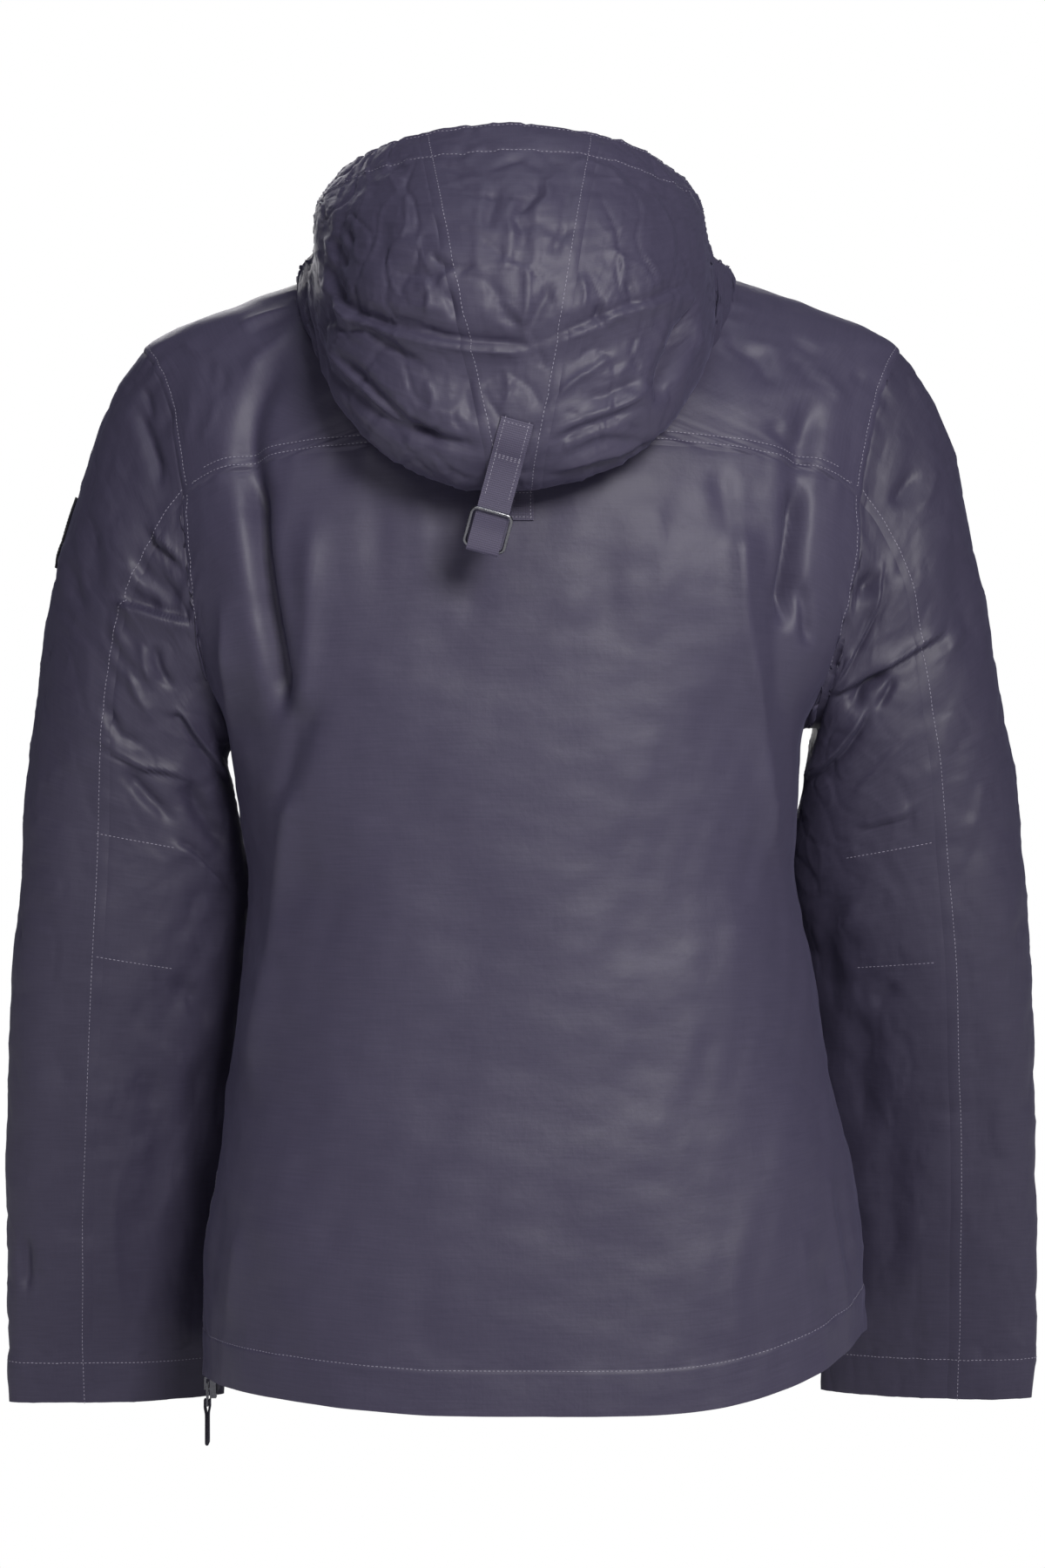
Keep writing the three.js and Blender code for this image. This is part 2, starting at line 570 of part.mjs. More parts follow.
// Place along a sleeve of one of its rows
const sleeveRow = (r) => SLEEVE[SLEEVE.length - 1].at * (r / ROWS.sleeve) ** ROW_CROWDING;

function sleeveGrid(side, angles) {
  const grid = [];
  for (let r = 0; r <= ROWS.sleeve; r += 1) {
    const at = sleeveRow(r);
    grid.push(angles.map((angle) => {
      if (r > 0) return sleevePoint(side, at, angle);
      return armholePoint(side, angle);
    }));
  }
  return grid;
}

// Angles round a sleeve's under panel, from its back seam to its front seam
const lowerAngles = [...underAngles, ...underAngles.slice(0, -1).reverse().map((angle) => 360 - angle)];

// Outer faces of all cloth panels; wrap marks a closed ring and turn the side that faces out
const panels = [
  { name: 'back_panel', grid: backPanel, turn: 1, colour: COLOURS.shell },
  { name: 'front_panel', grid: frontPanel, turn: -1, colour: COLOURS.shell },
  { name: 'yoke', grid: yoke, turn: 1, wrap: true, colour: COLOURS.shell },
];
for (const [label, side] of [['left', 1], ['right', -1]]) {
  for (const [part, angles] of [['upper', tipAngles], ['under', lowerAngles]]) {
    const grid = sleeveGrid(side, angles);
    panels.push({ name: `sleeve_${part}_${label}`, grid, turn: side, colour: COLOURS.sleeve });
  }
}
const centreFrom = COLUMNS.arm + COLUMNS.back / 2 - COLUMNS.centre;
const centreTo = COLUMNS.arm + COLUMNS.back / 2 + COLUMNS.centre;
const frontMiddle = ring.length - COLUMNS.front / 2;
const hoodPart = (from, to) => hood.map((line) => {
  return Array.from({ length: to - from + 1 }, (_, i) => line[(from + i + ring.length) % ring.length]);
});
panels.push({ name: 'hood_centre', grid: hoodPart(centreFrom, centreTo), turn: -1, colour: COLOURS.shell });
panels.push({
  name: 'hood_side_left',
  grid: hoodPart(frontMiddle - ring.length, centreFrom),
  turn: -1,
  colour: COLOURS.shell,
});
panels.push({
  name: 'hood_side_right',
  grid: hoodPart(centreTo, frontMiddle),
  turn: -1,
  colour: COLOURS.shell,
});

const pointKey = (point) => point.toArray().map((value) => Math.round(value * 50)).join(' ');

// The outward normal at every point of a grid
function gridNormals({ grid, turn, wrap }) {
  const rows = grid.length;
  const columns = grid[0].length;
  const column = (i) => (wrap ? (i + columns) % columns : clamp(i, 0, columns - 1));
  return grid.map((line, r) => line.map((_, i) => {
    const along = grid[Math.min(r + 1, rows - 1)][i].clone().sub(grid[Math.max(r - 1, 0)][i]);
    const across = line[column(i + 1)].clone().sub(line[column(i - 1)]);
    return across.cross(along).multiplyScalar(-turn).normalize();
  }));
}

// Panels that meet share one direction at the seam, so their walls meet in a mitre
const seamNormals = new Map();
for (const panel of panels) {
  panel.normals = gridNormals(panel);
  panel.grid.forEach((line, r) => line.forEach((point, i) => {
    const key = pointKey(point);
    const sum = seamNormals.get(key) ?? new THREE.Vector3();
    seamNormals.set(key, sum.add(panel.normals[r][i]));
  }));
}

// Points moved off the seam line by half the seam gap, towards the panel's inside
function seamInset(panel, r, i) {
  const { grid, wrap } = panel;
  const rows = grid.length - 1;
  const columns = grid[0].length - 1;
  const point = grid[r][i];
  const move = new THREE.Vector3();
  const towards = (other) => move.add(other.clone().sub(point).setLength(SEAM_GAP / 2));
  if (r === 0) towards(grid[1][i]);
  if (r === rows) towards(grid[rows - 1][i]);
  if (!wrap && i === 0) towards(grid[r][1]);
  if (!wrap && i === columns) towards(grid[r][columns - 1]);
  return move;
}

// A closed wall from an outer and an inner grid, as an indexed geometry
function wallGeometry(outer, inner, wrap, turn) {
  const rows = outer.length;
  const columns = outer[0].length;
  const place = [];
  for (const face of [outer, inner]) {
    for (const line of face) {
      for (const point of line) place.push(point.x, point.y, point.z);
    }
  }
  const index = (face, r, i) => face * rows * columns + r * columns + (i % columns);
  const faces = [];
  const quad = (a, b, c, d) => {
    if (turn > 0) faces.push(a, b, c, a, c, d);
    else faces.push(a, c, b, a, d, c);
  };
  const spans = wrap ? columns : columns - 1;
  for (let r = 0; r < rows - 1; r += 1) {
    for (let i = 0; i < spans; i += 1) {
      quad(index(0, r, i), index(0, r + 1, i), index(0, r + 1, i + 1), index(0, r, i + 1));
      quad(index(1, r, i), index(1, r, i + 1), index(1, r + 1, i + 1), index(1, r + 1, i));
    }
  }
  for (let i = 0; i < spans; i += 1) {
    quad(index(0, 0, i), index(0, 0, i + 1), index(1, 0, i + 1), index(1, 0, i));
    quad(index(0, rows - 1, i), index(1, rows - 1, i), index(1, rows - 1, i + 1), index(0, rows - 1, i + 1));
  }
  if (!wrap) {
    const end = columns - 1;
    for (let r = 0; r < rows - 1; r += 1) {
      quad(index(0, r, 0), index(1, r, 0), index(1, r + 1, 0), index(0, r + 1, 0));
      quad(index(0, r, end), index(0, r + 1, end), index(1, r + 1, end), index(1, r, end));
    }
  }
  const geometry = new THREE.BufferGeometry();
  geometry.setAttribute('position', new THREE.Float32BufferAttribute(place, 3));
  geometry.setIndex(faces);
  return geometry;
}

const anorak = new THREE.Group();

const CLOTH = { roughness: 0.55, metalness: 0 };
const METAL = { roughness: 0.35, metalness: 1 };

function addMesh(name, geometry, color, finish = CLOTH) {
  geometry.computeVertexNormals();
  const material = new THREE.MeshStandardMaterial({ color, ...finish });
  const mesh = new THREE.Mesh(geometry, material);
  mesh.name = name;
  anorak.add(mesh);
  return mesh;
}

for (const panel of panels) {
  const outer = [];
  const inner = [];
  panel.grid.forEach((line, r) => {
    outer.push([]);
    inner.push([]);
    line.forEach((point, i) => {
      const shared = seamNormals.get(pointKey(point)).clone().normalize();
      const square = Math.max(shared.dot(panel.normals[r][i]), 1 / LONGEST_MITRE);
      const kept = point.clone().add(seamInset(panel, r, i));
      outer[r].push(kept);
      inner[r].push(kept.clone().addScaledVector(shared, -WALL / square));
    });
  });
  addMesh(panel.name, wallGeometry(outer, inner, panel.wrap, panel.turn), panel.colour);
}

// A closed solid from a geometry with open duplicate corners, for joins and cuts
function solid(geometry) {
  const bare = geometry.clone();
  bare.deleteAttribute('normal');
  bare.deleteAttribute('uv');
  const merged = mergeVertices(bare, 1e-4);
  return new wasm.Manifold(new wasm.Mesh({
    numProp: 3,
    vertProperties: new Float32Array(merged.getAttribute('position').array),
    triVerts: new Uint32Array(merged.getIndex().array),
  }));
}

function geometryOf(manifold) {
  const { vertProperties, triVerts } = manifold.getMesh();
  const geometry = new THREE.BufferGeometry();
  geometry.setAttribute('position', new THREE.BufferAttribute(new Float32Array(vertProperties), 3));
  geometry.setIndex(new THREE.BufferAttribute(new Uint32Array(triVerts), 1));
  return geometry;
}

// A flat plate in the plane of the side zip: outline in (y, z), thickness along x from a given face
function sidePlate(shape, x, thick) {
  const geometry = new THREE.ExtrudeGeometry(shape, { depth: thick, bevelEnabled: false, curveSegments: 4 });
  const axes = new THREE.Matrix4().makeBasis(
    new THREE.Vector3(0, 1, 0),
    new THREE.Vector3(0, 0, 1),
    new THREE.Vector3(1, 0, 0),
  );
  return geometry.applyMatrix4(axes.setPosition(x, 0, 0));
}

function roundedPlate(low, high, corner) {
  const shape = new THREE.Shape();
  shape.moveTo(low.x + corner, low.y);
  shape.lineTo(high.x - corner, low.y);
  shape.absarc(high.x - corner, low.y + corner, corner, -Math.PI / 2, 0);
  shape.lineTo(high.x, high.y - corner);
  shape.absarc(high.x - corner, high.y - corner, corner, 0, Math.PI / 2);
  shape.lineTo(low.x + corner, high.y);
  shape.absarc(low.x + corner, high.y - corner, corner, Math.PI / 2, Math.PI);
  shape.lineTo(low.x, low.y + corner);
  shape.absarc(low.x + corner, low.y + corner, corner, Math.PI, 1.5 * Math.PI);
  return shape;
}

// How far in the zip tape lies, and the place of its outer face on the side line
const tapeDepth = (z) => TAPE_DEPTH + TAPE_TUCK * smooth((TAPE_TUCK_Z - z) / TAPE_TUCK_RUN);
const sideX = (z) => body.shift(z) + body.half(z);

function addSideZip() {
  const outer = [];
  for (let r = 0; r <= ROWS.tape; r += 1) {
    const z = mix(ZIP_TOP_Z + TAPE_ABOVE, ZIP_BOTTOM_Z, r / ROWS.tape);
    outer.push([-TAPE_HALF, 0, TAPE_HALF].map((y) => {
      return new THREE.Vector3(body.shift(z) + bodyReach(y, z) - tapeDepth(z), y, z);
    }));
  }
  const inner = outer.map((line) => line.map((point) => point.clone().setX(point.x - TAPE_WALL)));
  addMesh('side_zip_tape', wallGeometry(outer, inner, false, 1), COLOURS.dark);

  const faceX = sideX(ZIP_BOTTOM_Z) - tapeDepth(ZIP_BOTTOM_Z) + LIE_GAP;
  const low = { x: -SLIDER.half, y: SLIDER.bottom };
  const high = { x: SLIDER.half, y: SLIDER.top };
  const base = solid(sidePlate(roundedPlate(low, high, SLIDER.corner), faceX, SLIDER.thick));
  const arch = new THREE.Shape();
  const topX = BAIL.clear + BAIL.strip;
  const inside = BAIL.reach - BAIL.strip;
  arch.moveTo(-BAIL.sunk, -BAIL.reach);
  arch.lineTo(topX, -BAIL.reach);
  arch.lineTo(topX, BAIL.reach);
  arch.lineTo(-BAIL.sunk, BAIL.reach);
  arch.lineTo(-BAIL.sunk, inside);
  arch.lineTo(BAIL.clear, inside);
  arch.lineTo(BAIL.clear, -inside);
  arch.lineTo(-BAIL.sunk, -inside);
  const strip = new THREE.ExtrudeGeometry(arch, { depth: 2 * BAIL.half, bevelEnabled: false });
  const outward = new THREE.Matrix4().makeBasis(
    new THREE.Vector3(1, 0, 0),
    new THREE.Vector3(0, 0, 1),
    new THREE.Vector3(0, -1, 0),
  );
  strip.applyMatrix4(outward.setPosition(faceX + SLIDER.thick, BAIL.half, TAB.axisZ));
  addMesh('side_zip_slider', geometryOf(base.add(solid(strip))), COLOURS.metal, METAL);

  const axisX = faceX + SLIDER.thick + TAB.axis;
  const tabLow = { x: -TAB.half, y: TAB.axisZ - TAB.long };
  const tabHigh = { x: TAB.half, y: TAB.axisZ + TAB.pin };
  const tabShape = roundedPlate(tabLow, tabHigh, TAB.pin);
  const windowLow = { x: -TAB.hole, y: TAB.axisZ - TAB.window };
  const windowHigh = { x: TAB.hole, y: TAB.axisZ - TAB.pin };
  tabShape.holes.push(roundedPlate(windowLow, windowHigh, HOLE_CORNER));
  addMesh('side_zip_pull', sidePlate(tabShape, axisX - TAB.thick / 2, TAB.thick), COLOURS.metal, METAL);

  const pullLow = { x: -PULL.half, y: PULL.bottom };
  const pullHigh = { x: PULL.half, y: PULL.top };
  const pullShape = roundedPlate(pullLow, pullHigh, PULL.corner);
  const block = solid(sidePlate(pullShape, axisX - PULL.thick / 2, PULL.thick));
  const room = TAB.thick + 2 * LIE_GAP;
  const pocketLow = { x: -TAB.half - LIE_GAP, y: PULL.top - PULL.pocket };
  const pocketHigh = { x: TAB.half + LIE_GAP, y: PULL.top + 2 };
  const pocketShape = roundedPlate(pocketLow, pocketHigh, HOLE_CORNER);
  const pocket = solid(sidePlate(pocketShape, axisX - room / 2, room));
  addMesh('side_zip_cord_pull', geometryOf(block.subtract(pocket)), COLOURS.dark);
}

addSideZip();

// Where a line of sight from behind meets the named panels
const panelMeshes = (names) => anorak.children.filter((mesh) => names.includes(mesh.name));
function seenFromBehind(names, x, z) {
  const ray = new THREE.Raycaster(new THREE.Vector3(x, FAR_BEHIND, z), new THREE.Vector3(0, -1, 0));
  return ray.intersectObjects(panelMeshes(names))[0].point.y;
}

// The strap's own axes: down the slant, out to the back, and across its width
const slant = radians(STRAP.slant);
const strapAxes = new THREE.Matrix4().makeBasis(
  new THREE.Vector3(Math.sin(slant), 0, -Math.cos(slant)),
  new THREE.Vector3(0, 1, 0),
  new THREE.Vector3(Math.cos(slant), 0, Math.sin(slant)),
).setPosition(STRAP.x, 0, STRAP.z);

// The outline of a band of even thickness along a line in the (down, out) plane
function bandShape(line, thick) {
  const sides = [1, -1].map((sign) => line.map((point, i) => {
    const before = line[Math.max(i - 1, 0)];
    const after = line[Math.min(i + 1, line.length - 1)];
    const along = after.clone().sub(before).normalize();
    return new THREE.Vector2(point.x - along.y * sign * thick / 2, point.y + along.x * sign * thick / 2);
  }));
  return new THREE.Shape([...sides[0], ...sides[1].reverse()]);
}

function addHoodStrap() {
  const hoodNames = ['hood_centre', 'hood_side_left', 'hood_side_right'];
  const away = STRAP_WALL / 2 + LIE_GAP;
  const steps = 4;
  const onHood = Array.from({ length: steps + 1 }, (_, i) => {
    const down = (STRAP.onHood * i) / steps;
    const highest = Math.max(...[-1, 0, 1].map((side) => {
      const at = new THREE.Vector3(down, 0, side * STRAP.half).applyMatrix4(strapAxes);
      return seenFromBehind(hoodNames, at.x, at.z);
    }));
    return new THREE.Vector2(down, highest + away + FACET_ROOM);
  });
  const round = STRAP_RING.wire + away + FACET_ROOM;
  const { topDown, topY, lowDown, lowY } = STRAP_RING;
  const anchorBase = seenFromBehind(['back_panel'], ANCHOR.x, ANCHOR.z);
  const anchorY = anchorBase + ANCHOR.wall + LIE_GAP + away + 2 * FACET_ROOM;
  const places = {
    top: { down: topDown, out: topY },
    low: { down: lowDown, out: lowY },
    anchor: { down: lowDown, out: anchorY },
  };
  const free = STRAP_RUN.map(({ near, down, out, turnDown, turnOut }) => {
    const place = places[near];
    return new THREE.Vector2(place.down + down + round * turnDown, place.out + out + round * turnOut);
  });
  const shape = bandShape([...onHood, ...free], STRAP_WALL);
  const band = new THREE.ExtrudeGeometry(shape, { depth: 2 * STRAP.half, bevelEnabled: false });
  band.translate(0, 0, -STRAP.half).applyMatrix4(strapAxes);
  addMesh('hood_strap', geometryOf(solid(band)), COLOURS.shell);

  const tall = Math.hypot(lowDown - topDown, lowY - topY) / 2;
  const half = STRAP_RING.half;
  const loop = roundedPlate({ x: -half, y: -tall }, { x: half, y: tall }, STRAP_RING.corner);
  const path = loop.getPoints(3).slice(0, -1);
  const down = new THREE.Vector3(lowDown - topDown, lowY - topY, 0).normalize();
  const place = ({ x, y }) => new THREE.Vector3((topDown + lowDown) / 2, (topY + lowY) / 2, 0)
    .addScaledVector(down, -y)
    .add(new THREE.Vector3(0, 0, x))
    .applyMatrix4(strapAxes);
  const centre = path.map(place);
  const flat = new THREE.Vector3(-down.y, down.x, 0).transformDirection(strapAxes);
  const sides = 8;
  const wire = Array.from({ length: sides }, (_, k) => centre.map((point, i) => {
    const before = centre[(i + centre.length - 1) % centre.length];
    const along = centre[(i + 1) % centre.length].clone().sub(before).normalize();
    const out = along.clone().cross(flat).normalize();
    const turn = (2 * Math.PI * k) / sides;
    return point.clone().addScaledVector(out, STRAP_RING.wire * Math.cos(turn))
      .addScaledVector(flat, STRAP_RING.wire * Math.sin(turn));
  }));
  addMesh('strap_ring', ringTube(wire), COLOURS.metal, METAL);

  addMesh('strap_anchor', patchOnBack(ANCHOR), COLOURS.shell);
}

// A tube that closes on itself: lines of points round the wire, each line all the way along it
function ringTube(lines) {
  const around = lines.length;
  const along = lines[0].length;
  const place = lines.flat().flatMap((point) => point.toArray());
  const faces = [];
  for (let k = 0; k < around; k += 1) {
    for (let i = 0; i < along; i += 1) {
      const a = k * along + i;
      const b = ((k + 1) % around) * along + i;
      const c = ((k + 1) % around) * along + ((i + 1) % along);
      const d = k * along + ((i + 1) % along);
      faces.push(a, c, b, a, d, c);
    }
  }
  const geometry = new THREE.BufferGeometry();
  geometry.setAttribute('position', new THREE.Float32BufferAttribute(place, 3));
  geometry.setIndex(faces);
  return geometry;
}

// A small stitched tab that lies on the back panel
function patchOnBack({ x, z, half, tall, wall }) {
  const across = [half, half / 2, 0, -half / 2, -half];
  const inner = [1, 0, -1].map((up) => across.map((side) => {
    const y = seenFromBehind(['back_panel'], x + side, z + up * tall);
    return new THREE.Vector3(x + side, y + LIE_GAP + FACET_ROOM, z + up * tall);
  }));
  const outer = inner.map((line) => line.map((point) => point.clone().setY(point.y + wall)));
  return wallGeometry(outer, inner, false, 1);
}

addHoodStrap();

// Place along the left sleeve at which a line round it reaches a height
function sleeveAt(angle, z) {
  let low = 0;
  let high = 8;
  for (let i = 0; i < 40; i += 1) {
    const at = (low + high) / 2;
    if (sleevePoint(1, at, angle).z > z) low = at;
    else high = at;
  }
  return low;
}

// The blank patch on the outside of the left sleeve, from the sleeve's own points moved out
function addSleevePatch() {
  const rows = 4;
  const columns = 6;
  const grid = Array.from({ length: rows + 1 }, (_, r) => Array.from({ length: columns + 1 }, (_, i) => {
    const angle = mix(PATCH.from, PATCH.to, i / columns);
    return sleevePoint(1, sleeveAt(angle, mix(PATCH.top, PATCH.bottom, r / rows)), angle);
  }));
  const normals = gridNormals({ grid, turn: 1 });
  const moved = (distance) => grid.map((line, r) => line.map((point, i) => {
    return point.clone().addScaledVector(normals[r][i], distance);
  }));
  const lift = LIE_GAP + FACET_ROOM;
  const geometry = wallGeometry(moved(lift + PATCH.wall), moved(lift), false, 1);
  addMesh('sleeve_patch', geometry, COLOURS.dark);
}

addSleevePatch();

export default anorak;
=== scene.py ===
"""Looks of the hooded pullover anorak: cloth panels, stitching, strap, zip, finishes and studio."""
import json
import logging
import math
from dataclasses import dataclass, field, replace
from enum import Enum

import bmesh
import bpy
import numpy as np
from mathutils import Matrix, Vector
from mathutils.bvhtree import BVHTree
from mathutils.kdtree import KDTree

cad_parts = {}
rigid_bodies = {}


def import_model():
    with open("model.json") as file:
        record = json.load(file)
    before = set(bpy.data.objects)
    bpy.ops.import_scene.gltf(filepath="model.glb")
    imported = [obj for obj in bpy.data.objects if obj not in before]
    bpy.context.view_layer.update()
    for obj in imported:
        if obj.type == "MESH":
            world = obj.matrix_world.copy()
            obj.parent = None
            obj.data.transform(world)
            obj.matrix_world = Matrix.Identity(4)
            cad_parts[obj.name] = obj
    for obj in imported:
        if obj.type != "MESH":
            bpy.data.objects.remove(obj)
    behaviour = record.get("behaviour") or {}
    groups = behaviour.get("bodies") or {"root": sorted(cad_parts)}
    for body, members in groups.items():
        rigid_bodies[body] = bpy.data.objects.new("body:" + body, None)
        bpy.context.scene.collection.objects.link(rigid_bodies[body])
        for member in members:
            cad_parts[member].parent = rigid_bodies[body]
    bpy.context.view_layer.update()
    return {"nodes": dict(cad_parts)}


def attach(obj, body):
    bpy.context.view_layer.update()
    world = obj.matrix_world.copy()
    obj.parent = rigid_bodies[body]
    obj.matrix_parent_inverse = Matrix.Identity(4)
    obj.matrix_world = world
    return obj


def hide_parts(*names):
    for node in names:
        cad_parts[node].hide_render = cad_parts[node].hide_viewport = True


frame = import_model()

log = logging.getLogger("anorak")
GARMENT, ZIP_PULL = "garment", "zip_pull"
MM = 0.001

# Driving sizes in millimetres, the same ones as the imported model's
SHOULDER_TIP_Z = -43.0
UNDERARM_Z = -290.0
ARMHOLE_HALF_DEPTH = 66.0
ARMHOLE_EGG = 0.2
SEAM_ANGLE = 79.5
HEM_Z = -715.0
HEM_RISE_SHARE = 1.6
SLEEVE_CLEAR = 3.0
SIDE_ANGLES = (120.0, 135.0, 150.0, 165.0, 180.0)
RIGHT_SLEEVE_FORWARD = 16.0
CAP_END = 2.2
BACK_SEAM_DROP = 31.0
FRONT_SEAM_DROP = -8.0
SEAM_FADE = 120.0
SIDE_CROWDING = 0.35
NECK_CORNER, BRIM_CORNER = 40.0, 20.0
CENTRE_PANEL_NECK, CENTRE_PANEL_BRIM = 15.0, 56.0
CENTRE_SHARE = 2 / 9
BACK_SPREAD = (0, 0, 0, 0.05, 0.3, 0.43, 0.71, 0.96, 1)
ZIP_TOP_Z, ZIP_BOTTOM_Z, ZIP_GAP, ZIP_MOUTH = -382.0, -722.0, 4.5, 14.0
TAPE_HALF, TAPE_DEPTH, TAPE_ABOVE, TAPE_WALL = 12.0, 3.5, 9.0, 1.0
TAPE_TUCK, TAPE_TUCK_Z, TAPE_TUCK_RUN = 4.5, -655.0, 50.0
SHELL_WALL = 1.7
LIE_GAP = 0.35
HEM_BAND = 28.0

BODY_ROWS = {
    "z": [20, 3, -11.5, -28, -43, -60, -81, -110, -139, -180, -215, -250, -290, -325, -382,
          -451, -512, -565, -638, -715, -740],
    "half": [92, 144, 187, 229, 247, 249, 249, 248, 243, 238, 227, 211, 189, 184, 178,
             187, 195, 205, 215, 216, 216],
    "back": [24, 38, 51, 65, 76, 90, 105, 117, 125, 130, 131, 131, 131, 131, 130,
             130, 131, 134, 138, 140, 140],
    "front": [22, 36, 47, 59, 70, 81, 92, 104, 113, 122, 126, 129, 131, 131, 131,
              132, 133, 135, 138, 140, 140],
    "shift": [3, 3, 2, 1, 0, 0, 0, 0, 0, 0, 1, 3, 4, 3, 0, -4, -5, -7, -7, -8, -8],
    "square": [2, 2, 2, 2, 2, 2, 2, 2.05, 2.15, 2.3, 2.35, 2.4, 2.4, 2.4, 2.4,
               2.4, 2.4, 2.4, 2.4, 2.4, 2.4],
}
SLEEVE_ROWS = {
    "at": [0, 0.5, 1, 2, 3, 4, 5, 6, 7, 8, 9, 10, 11, 12],
    "outX": [247, 262, 277, 291, 304, 314, 321, 327, 332, 336, 339, 341, 342, 341],
    "outZ": [-43, -63, -93, -136, -182, -236, -291, -347, -405, -467, -533, -601, -669, -735],
    "inX": [189, 187, 185.5, 185, 185, 186, 187, 188, 189, 192, 196, 200, 202, 203],
    "inZ": [-290, -293, -298, -307, -318, -333, -352, -378, -417, -470, -534, -602, -671, -739],
    "depth": [66, 64, 62, 60, 58, 56, 54, 51, 49, 46, 41, 34, 26, 19],
    "mid": [0, 0, 0, 0, -2, -5, -10, -15, -20, -27, -35, -44, -55, -65],
    "turn": [0, 0, 0, 0, 2, 5, 9, 12, 15, 18, 20, 22, 25, 28],
    "slim": [0, 0, 0, 3, 7, 7, 3, 1, 0, 0, 0, 0, 0, 0],
}
SLEEVE_END = 12.0
NECK = {"half": 143.0, "back": 108.0, "front": 98.0, "square": 2.7, "shift": 4.0}


@dataclass(frozen=True)
class HoodLoop:
    """One closed loop of the hanging hood, in millimetres."""

    half: float
    back: float
    front: float
    square: float
    shift: float
    back_z: float
    side_z: float
    front_z: float
    sag: float = 0.37
    tilt: float = 0.0


HOOD_LOOPS = (
    HoodLoop(140, 119, 101, 2.9, 5, -74, 12, -84),
    HoodLoop(136, 135, 102, 3.2, 6, -92, 17, -77),
    HoodLoop(131, 155, 103, 3.5, 6, -146, 22, -70),
    HoodLoop(130, 185, 103, 3.3, 6, -126, 27, -62),
    HoodLoop(127, 194, 103, 3.0, 6, -68, 33, -54),
    HoodLoop(127, 203, 102, 2.8, 7, -42, 38, -46, 0.4),
    HoodLoop(126, 191, 100, 2.5, 8, 16, 45, -32, 0.55, 1),
    HoodLoop(122, 153, 96, 2.3, 8, 70, 53, -14, 0.9, 0),
    HoodLoop(118, 140, 93, 2.3, 8, 82, 59, -9, 1.0, 0),
)


@dataclass(frozen=True)
class HemRise:
    """How the hem rises towards one side."""

    lift: float
    start: float
    run: float
    late: float

    def __call__(self, away: np.ndarray) -> np.ndarray:
        """Rise at a distance from the middle."""
        return self.lift * np.clip((away - self.start) / self.run, 0, 1) ** self.late


HEM_RISE_LEFT, HEM_RISE_RIGHT = HemRise(8, 60, 140, 1), HemRise(36, 60, 160, 2.6)


def mix(a: np.ndarray, b: np.ndarray, t: np.ndarray) -> np.ndarray:
    """Straight blend from a to b."""
    return a + (b - a) * t


def smooth(t: np.ndarray) -> np.ndarray:
    """Eased step from 0 to 1."""
    s = np.clip(t, 0.0, 1.0)
    return s * s * (3 - 2 * s)


def power(value: np.ndarray, exponent: np.ndarray) -> np.ndarray:
    """Power that keeps the sign of its base."""
    return np.sign(value) * np.abs(value) ** exponent


def unit(vectors: np.ndarray) -> np.ndarray:
    """Vectors at unit length."""
    return vectors / np.maximum(np.linalg.norm(vectors, axis=-1, keepdims=True), 1e-9)


class TableCurve:
    """Smooth curve through a table's column that never swings past its values."""

    def __init__(self, at: list[float], value: list[float]) -> None:
        """Sorts the rows and works out a tangent at each.

        Args:
            at: the places of the rows.
            value: the column's values there.
        """
        order = np.argsort(at)
        self.at = np.asarray(at, float)[order]
        self.value = np.asarray(value, float)[order]
        slope = np.diff(self.value) / np.diff(self.at)
        before, after = slope[:-1], slope[1:]
        same = before * after > 0
        total = np.where(same, before + after, 1.0)
        inner = np.where(same, 2 * before * after / total, 0.0)
        self.tangent = np.concatenate([[slope[0]], inner, [slope[-1]]])

    def __call__(self, place: np.ndarray) -> np.ndarray:
        """Value of the column at a place."""
        p = np.clip(place, self.at[0], self.at[-1])
        i = np.clip(np.searchsorted(self.at, p, side="right") - 1, 0, len(self.at) - 2)
        span = self.at[i + 1] - self.at[i]
        t = (p - self.at[i]) / span
        ease = t * (1 - t) * span
        bend = ease * (1 - t) * self.tangent[i] - ease * t * self.tangent[i + 1]
        return mix(self.value[i], self.value[i + 1], t * t * (3 - 2 * t)) + bend


def table_curves(rows: dict[str, list[float]], key: str) -> dict[str, TableCurve]:
    """One smooth curve for each column of a table."""
    return {name: TableCurve(rows[key], rows[name]) for name in rows if name != key}


def crowded(t: np.ndarray) -> np.ndarray:
    """Share of the way across a body panel, drawn together at its sides."""
    return t - SIDE_CROWDING * np.sin(2 * np.pi * t) / (2 * np.pi)


def stations(length: float, pitch: float, fine: list[float], radius: float = 3.0,
             fine_pitch: float = 0.8) -> np.ndarray:
    """Places along a length, closer together near some of them.

    Args:
        length: the whole length.
        pitch: the usual step.
        fine: the places that need a fine step.
        radius: how far a fine step reaches each way.
        fine_pitch: the fine step.

    Returns:
        Rising shares of the length from 0 to 1.
    """
    at = [0.0]
    while at[-1] < length:
        near = any(abs(at[-1] + pitch * 0.5 - place) < radius + pitch * 0.5 for place in fine)
        at.append(at[-1] + (fine_pitch if near else pitch))
    shares = np.array(at)
    return shares / shares[-1]


